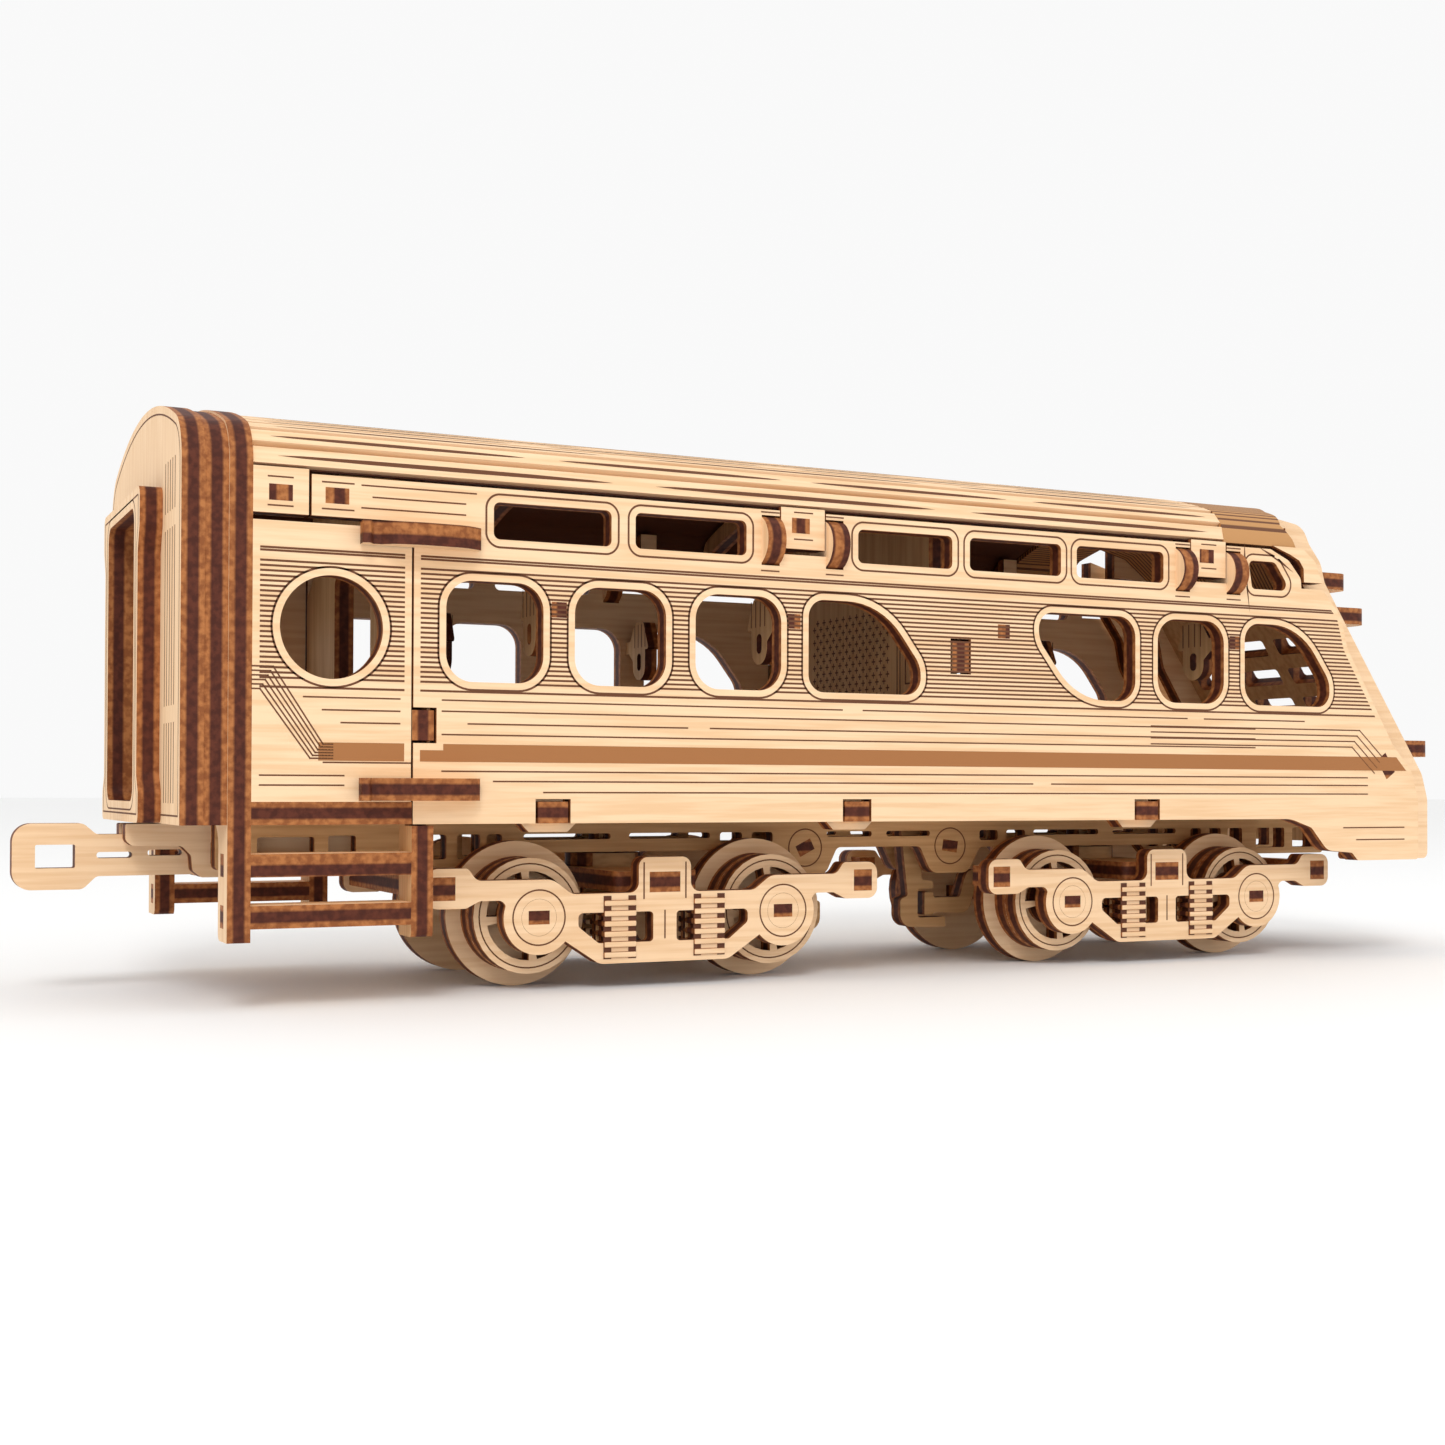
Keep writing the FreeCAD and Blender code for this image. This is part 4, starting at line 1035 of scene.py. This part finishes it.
@dataclass
class Wheels:
    """Wheels of stacked discs: an outer disc with arc windows, a tread disc and a flange disc."""

    shop: Workshop
    bore: float = 1.2 * MM
    flange: float = 14.2 * MM
    tread: float = 11.2 * MM
    rim: float = 8.6 * MM
    hub: float = 5.4 * MM
    spoke: float = 15.0
    windows: int = 4
    steps: int = 8
    segments: int = 64
    ring_radii: Span = (4.4 * MM, 9.9 * MM)
    ring_width: float = 0.28 * MM

    def build(self) -> None:
        """Builds the eight wheels in four pieces, and their engraved rings in four more."""
        upright = Matrix.Rotation(math.radians(90), 4, "X")
        for body in [bogie + "_wheelset_%d" % index for bogie in BOGIES for index in (1, 2)]:
            node = body + "_wheels"
            station, outer, height = middle_of(node)
            wheels, rings = bmesh.new(), bmesh.new()
            for side in (-1, 1):
                for radius, inward in ((self.flange, 2.5 * PLY), (self.tread, 1.5 * PLY)):
                    place = Matrix.Translation((station, side * (outer - inward), height))
                    bmesh.ops.create_cone(
                        wheels, cap_ends=True, segments=self.segments, radius1=radius,
                        radius2=radius, depth=PLY, matrix=place @ upright,
                    )
                self._open_disc(wheels, (station, side * (outer - PLY), height), side * PLY)
            for radius in self.ring_radii:
                side_rings(rings, (station, outer, height), radius, self.ring_width)
            wood = self.shop.wood(PALE, Way.SIDE, outer - PLY)
            piece = self.shop.piece(node + "_cut", wheels, wood, body, GEAR)
            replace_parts(piece, node)
            face_out(rings)
            self.shop.engraving(node + "_rings", rings, body, GEAR)

    def _open_disc(self, bm: BMesh, centre: tuple, depth: float) -> None:
        """Adds the outer disc: hub, rim and spokes between arc windows.

        Args:
            bm: the mesh.
            centre: the middle of the disc's inner face, in metres.
            depth: how far it goes outwards, with its sign.
        """
        flat = bmesh.new()
        discs(flat, centre, [self.bore, self.hub, self.rim, self.tread], self.windows * self.steps)
        share = 360 / self.windows
        away = []
        for one in flat.faces:
            spot = one.calc_center_median() - Vector(centre)
            radius = math.hypot(spot.x, spot.z)
            angle = math.degrees(math.atan2(spot.z, spot.x)) % share
            if self.hub < radius < self.rim and self.spoke < angle < share - self.spoke / 4:
                away.append(one)
        bmesh.ops.delete(flat, geom=away, context="FACES")
        extrude(flat, flat.faces[:], (0, depth, 0), keep=True)
        bmesh.ops.recalc_face_normals(flat, faces=flat.faces[:])
        mesh = bpy.data.meshes.new("open_disc")
        flat.to_mesh(mesh)
        flat.free()
        bm.from_mesh(mesh)
        bpy.data.meshes.remove(mesh)


@dataclass
class BogieMarks:
    """Engraved rings and marks of the running gear, and the layered ends of its axles."""

    shop: Workshop
    ring: float = 5.1 * MM
    ring_width: float = 0.3 * MM
    bosses: Span = (138.0 * MM, 175.4 * MM)
    boss_height: float = 26.0 * MM
    boss_ring: float = 3.9 * MM
    marks: tuple[tuple[float, Span], ...] = (
        (-4.5, (17.2, 24.4)), (4.5, (17.2, 24.4)), (0.0, (9.4, 15.0)),
    )
    mark_half: float = 0.15 * MM
    mark_share: float = 0.995
    axle_half: Span = (2.1 * MM, 1.3 * MM)
    axle_reach: Span = (0.3 * MM, 0.05 * MM)
    axle_low: float = 1.6 * MM

    def build(self) -> None:
        """Builds the marks of both bogies, the axles' ends and the rings on the beams."""
        for bogie in BOGIES:
            middle, outer, _ = middle_of(bogie + "_side_frames")
            bm = bmesh.new()
            for body in (bogie + "_wheelset_1", bogie + "_wheelset_2"):
                station, _, height = middle_of(body + "_axle")
                side_rings(bm, (station, outer, height), self.ring, self.ring_width)
                self._axle_ends(body, (station, outer, height))
            face_out(bm)
            for side in (-1, 1):
                level = side * (outer + HAIR)
                for place, height in self.marks:
                    station = middle + place * MM
                    along = (station - self.mark_half, station + self.mark_half)
                    block(bm, along, (level, level * self.mark_share), [one * MM for one in height])
            self.shop.engraving(bogie + "_marks", bm, bogie, GEAR)
        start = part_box("end_plate_outer")[0][0]
        outer = middle_of("chassis_beams")[1]
        bm = bmesh.new()
        for station in self.bosses:
            centre = (start + station, outer, self.boss_height)
            side_rings(bm, centre, self.boss_ring, self.ring_width)
        face_out(bm)
        self.shop.engraving("beam_rings", bm, "coach", PLAIN)

    def _axle_ends(self, body: str, middle: tuple) -> None:
        """Adds the layered ends of one axle strip.

        Args:
            body: the wheelset.
            middle: the axle's station, the side frame's outer face and the height, in metres.
        """
        station, outer, height = middle
        wide, tall = self.axle_half
        inward, outward = self.axle_reach
        bm = bmesh.new()
        for side in (-1, 1):
            across = (side * (outer - inward), side * (outer + outward))
            block(bm, (station - wide, station + wide), across, (height - tall, height + tall))
        wood = self.shop.wood(PALE, Way.FLAT, height - self.axle_low)
        self.shop.piece(body + "_axle_ends", bm, wood, body, GEAR)


@dataclass
class Partition:
    """The panelled doors and the small crossed pattern on the wall between the compartments."""

    shop: Workshop
    node: str = "partition_wall"
    door: Span = (-37.0 * MM, -21.0 * MM)
    door_height: Span = (38.0 * MM, 76.0 * MM)
    frame_step: float = 1.2 * MM
    fields: tuple[Span, ...] = ((41.0, 49.0), (51.5, 59.0), (61.5, 73.5))
    field_half: float = 4.6 * MM
    line: float = 0.35 * MM
    pattern_height: Span = (40.0 * MM, 78.0 * MM)
    pattern_half: float = 17.0 * MM
    pattern_pitch: float = 3.0 * MM
    cross: Span = (0.7 * MM, 0.15 * MM)
    reach: Span = (0.05 * MM, 0.1 * MM)

    def build(self) -> None:
        """Builds the doors' frames and the pattern on the wall's face towards the entrance."""
        bm = bmesh.new()
        low, high = self.door
        bottom, top = self.door_height
        middle = (low + high) / 2
        for hand in (-1, 1):
            for step in (0.0, self.frame_step):
                self._frame(bm, hand, (low + step, high - step), (bottom, top - step))
            for span in self.fields:
                across = (middle - self.field_half, middle + self.field_half)
                self._frame(bm, hand, across, (span[0] * MM, span[1] * MM))
        row = 0
        height = self.pattern_height[0]
        while height < self.pattern_height[1]:
            across = -self.pattern_half + (row % 2) * self.pattern_pitch / 2
            while across < self.pattern_half:
                for wide, tall in (self.cross, self.cross[::-1]):
                    self._bar(bm, (across - wide, across + wide), (height - tall, height + tall))
                across += self.pattern_pitch
            height += self.pattern_pitch / 2
            row += 1
        self.shop.engraving("partition_panelling", bm, "coach", PLAIN)

    def _frame(self, bm: BMesh, hand: int, across: Span, height: Span) -> None:
        """Adds the four sides of a thin upright frame.

        Args:
            bm: the mesh.
            hand: -1 to keep the frame on its side of the wall, +1 to mirror it.
            across: its ends across the coach, in metres.
            height: its bottom and top.
        """
        half = self.line / 2
        ends = sorted(-hand * place for place in across)
        for place in ends:
            self._bar(bm, (place - half, place + half), height)
        for place in height:
            self._bar(bm, ends, (place - half, place + half))

    def _bar(self, bm: BMesh, across: Span, height: Span) -> None:
        """Adds a thin bar on the wall's face."""
        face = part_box(self.node)[0][0]
        block(bm, (face - self.reach[0], face + self.reach[1]), across, height)


@dataclass
class LampFlutes:
    """Flutes cut down the lamp shades of both side panels."""

    shop: Workshop
    stations: tuple[float, ...] = (66.7, 116.0, 165.8, 228.0)
    thickness: float = 3.0 * MM
    flutes: int = 4
    first: float = 9.6 * MM
    pitch: float = 2.0 * MM
    height: Span = (71.6 * MM, 76.9 * MM)
    half: Span = (0.02 * MM, 0.14 * MM)

    def build(self) -> None:
        """Builds the flutes on both faces of each shade."""
        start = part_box("end_plate_outer")[0][0]
        thin, wide = self.half
        for side, hand in SIDES:
            low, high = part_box(side + "_panel")
            outer = max(abs(low[1]), abs(high[1]))
            bm = bmesh.new()
            for station in self.stations:
                near = start + station * MM
                for face in (near - HAIR, near + self.thickness + HAIR):
                    for index in range(self.flutes):
                        place = hand * (outer - self.first - index * self.pitch)
                        across = (place - wide, place + wide)
                        block(bm, (face - thin, face + thin), across, self.height)
            self.shop.engraving(side + "_lamp_flutes", bm, side + "_side_panel", PLAIN)


@dataclass
class Plates:
    """Gives every plain CAD plate its plywood. Low faces are in mm, or None for the node's own."""

    shop: Workshop
    coach: tuple = (
        (PALE, Way.CROSS, None, (
            "end_plate_outer", "end_plate_middle", "end_plate_inner", "gangway_frame",
            "near_hinge_knuckles", "far_hinge_knuckles",
        )),
        # Parts inside the coach take the darker birch, whose darker tone is painted shade.
        (SHADED_BIRCH, Way.CROSS, None, (
            "vestibule_bulkhead", "partition_wall", "roof_ribs", "rear_step_posts",
            "near_wall_lamps", "far_wall_lamps",
        )),
        (PALE, Way.SIDE, 38.8, (
            "near_panel", "far_panel", "door_panel_near", "door_panel_far", "hinge_covers",
            "nose_shoulder_plates",
        )),
        (PALE, Way.FLAT, None, (
            "near_corner_blocks", "far_corner_blocks", "floor_plate", "step_boards",
            "near_panel_handles", "far_panel_handles", "nose_fins",
        )),
        (PALE, Way.SIDE, 38.3, ("nose_side_plates",)),
        (PALE, Way.SIDE, 26.8, ("nose_inner_plates",)),
        # The darker birch on the underframe, pegs and nose front below is painted shade.
        (SHADED_BIRCH, Way.SIDE, 6.0, ("chassis_beams",)),
        (PALE, Way.SIDE, 2.0, ("drawbar_cheeks",)),
        (PALE, Way.SIDE, -2.0, ("drawbar_tongue",)),
        (SHADED_BIRCH, Way.SIDE, -2.0, ("hook_hangers",)),
        (PALE, Way.SIDE, 34.3, ("floor_catches",)),
        (SHADED_BIRCH, Way.FLAT, 24.3, ("chassis_cross_pegs", "drawbar_peg", "hinge_pins")),
        (SHADED_BIRCH, Way.CROSS, 0.0, ("nose_apron", "nose_front_plate")),
    )
    bogie: tuple = (
        (PALE, Way.SIDE, 28.5, ("_side_frames", "_wheelset_1_axle", "_wheelset_2_axle")),
        (PALE, Way.FLAT, 17.8, ("_end_beams",)),
        # The darker birch on the bolster, kingpin, spring backs and hook arm is painted shade.
        (SHADED_BIRCH, Way.FLAT, 18.5, ("_bolster",)),
        (SHADED_BIRCH, Way.SIDE, 26.5, ("_kingpin", "_spring_backs")),
        (SHADED_BIRCH, Way.SIDE, -2.0, ("_hook_arm",)),
    )

    def build(self) -> None:
        """Dresses the nodes by the way their plates face."""
        self._dress(self.coach, "")
        for bogie in BOGIES:
            self._dress(self.bogie, bogie)
        for node in ("nose_hood", "nose_roof_sides"):
            self.shop.dress(node, self.shop.flat_tone(SCORED))

    def _dress(self, table: tuple, prefix: str) -> None:
        """Dresses the nodes of one table.

        Args:
            table: rows of wood, way, low face and nodes.
            prefix: what comes before each node's name.
        """
        for wood, way, level, nodes in table:
            for node in nodes:
                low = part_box(prefix + node)[0][way.value] if level is None else level * MM
                self.shop.dress(prefix + node, self.shop.wood(wood, way, low))


@dataclass
class Studio:
    """White floor, soft lights and the camera."""

    place: tuple[float, float, float] = (-194.67 * MM, -359.6 * MM, 38.9 * MM)
    yaw: float = 25.97
    pitch: float = 0.73
    roll: float = 0.181
    lens: float = 45.43
    shift: float = 0.0294
    nearest: float = 0.01
    floor_size: float = 6.0
    room_strength: float = 0.95
    lamps: tuple = (
        ("key_light", (-0.5, -0.9, 0.9), 0.4, 5.5),
        ("fill_light", (0.7, -0.7, 0.6), 1.0, 0.8),
    )

    def build(self) -> None:
        """Builds the floor, the lights and the camera."""
        self._floor()
        self._lights()
        self._camera()

    def _floor(self) -> None:
        """Adds a wide pale floor with a matt surface."""
        bm = bmesh.new()
        bmesh.ops.create_grid(bm, x_segments=1, y_segments=1, size=self.floor_size)
        mesh = bpy.data.meshes.new("studio_floor")
        bm.to_mesh(mesh)
        bm.free()
        mesh.materials.append(PAPER.material())
        floor = bpy.data.objects.new("studio_floor", mesh)
        bpy.context.scene.collection.objects.link(floor)

    def _lights(self) -> None:
        """Adds one large key light, a broad fill and a bright room."""
        scene = bpy.context.scene
        world = bpy.data.worlds.new("white_room")
        world.use_nodes = True
        room = world.node_tree.nodes["Background"]
        room.inputs["Color"].default_value = (*WHITE, 1)
        room.inputs["Strength"].default_value = self.room_strength
        scene.world = world
        for name, place, size, power in self.lamps:
            data = bpy.data.lights.new(name, "AREA")
            data.size = size
            data.energy = power
            lamp = bpy.data.objects.new(name, data)
            lamp.location = place
            lamp.rotation_euler = (-Vector(place)).to_track_quat("-Z", "Y").to_euler()
            scene.collection.objects.link(lamp)

    def _camera(self) -> None:
        """Adds a camera near the gangway end, almost level, looking along the near side."""
        scene = bpy.context.scene
        data = bpy.data.cameras.new("camera")
        data.lens = self.lens
        data.shift_y = self.shift
        data.clip_start = self.nearest
        camera = bpy.data.objects.new("camera", data)
        yaw, pitch = math.radians(self.yaw), math.radians(self.pitch)
        level = math.cos(pitch)
        gaze = Vector((math.sin(yaw) * level, math.cos(yaw) * level, math.sin(pitch)))
        turn = gaze.to_track_quat("-Z", "Y") @ Quaternion((0, 0, 1), math.radians(self.roll))
        camera.location = self.place
        camera.rotation_euler = turn.to_euler()
        scene.collection.objects.link(camera)
        scene.camera = camera
        scene.view_settings.view_transform = "Standard"


def main() -> None:
    """Builds the coach's visual pieces and its studio."""
    logging.basicConfig(level=logging.INFO, format="%(message)s")
    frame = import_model()
    shop = Workshop(frame)
    kinds = (
        Plates, SidePanels, SideStrokes, EndWall, RoofSheet,
        Springs, Wheels, BogieMarks, Partition, LampFlutes,
    )
    for kind in kinds:
        LOG.info("building %s", kind.__name__)
        kind(shop).build()
    Studio().build()


if __name__ == "__main__":
    main()
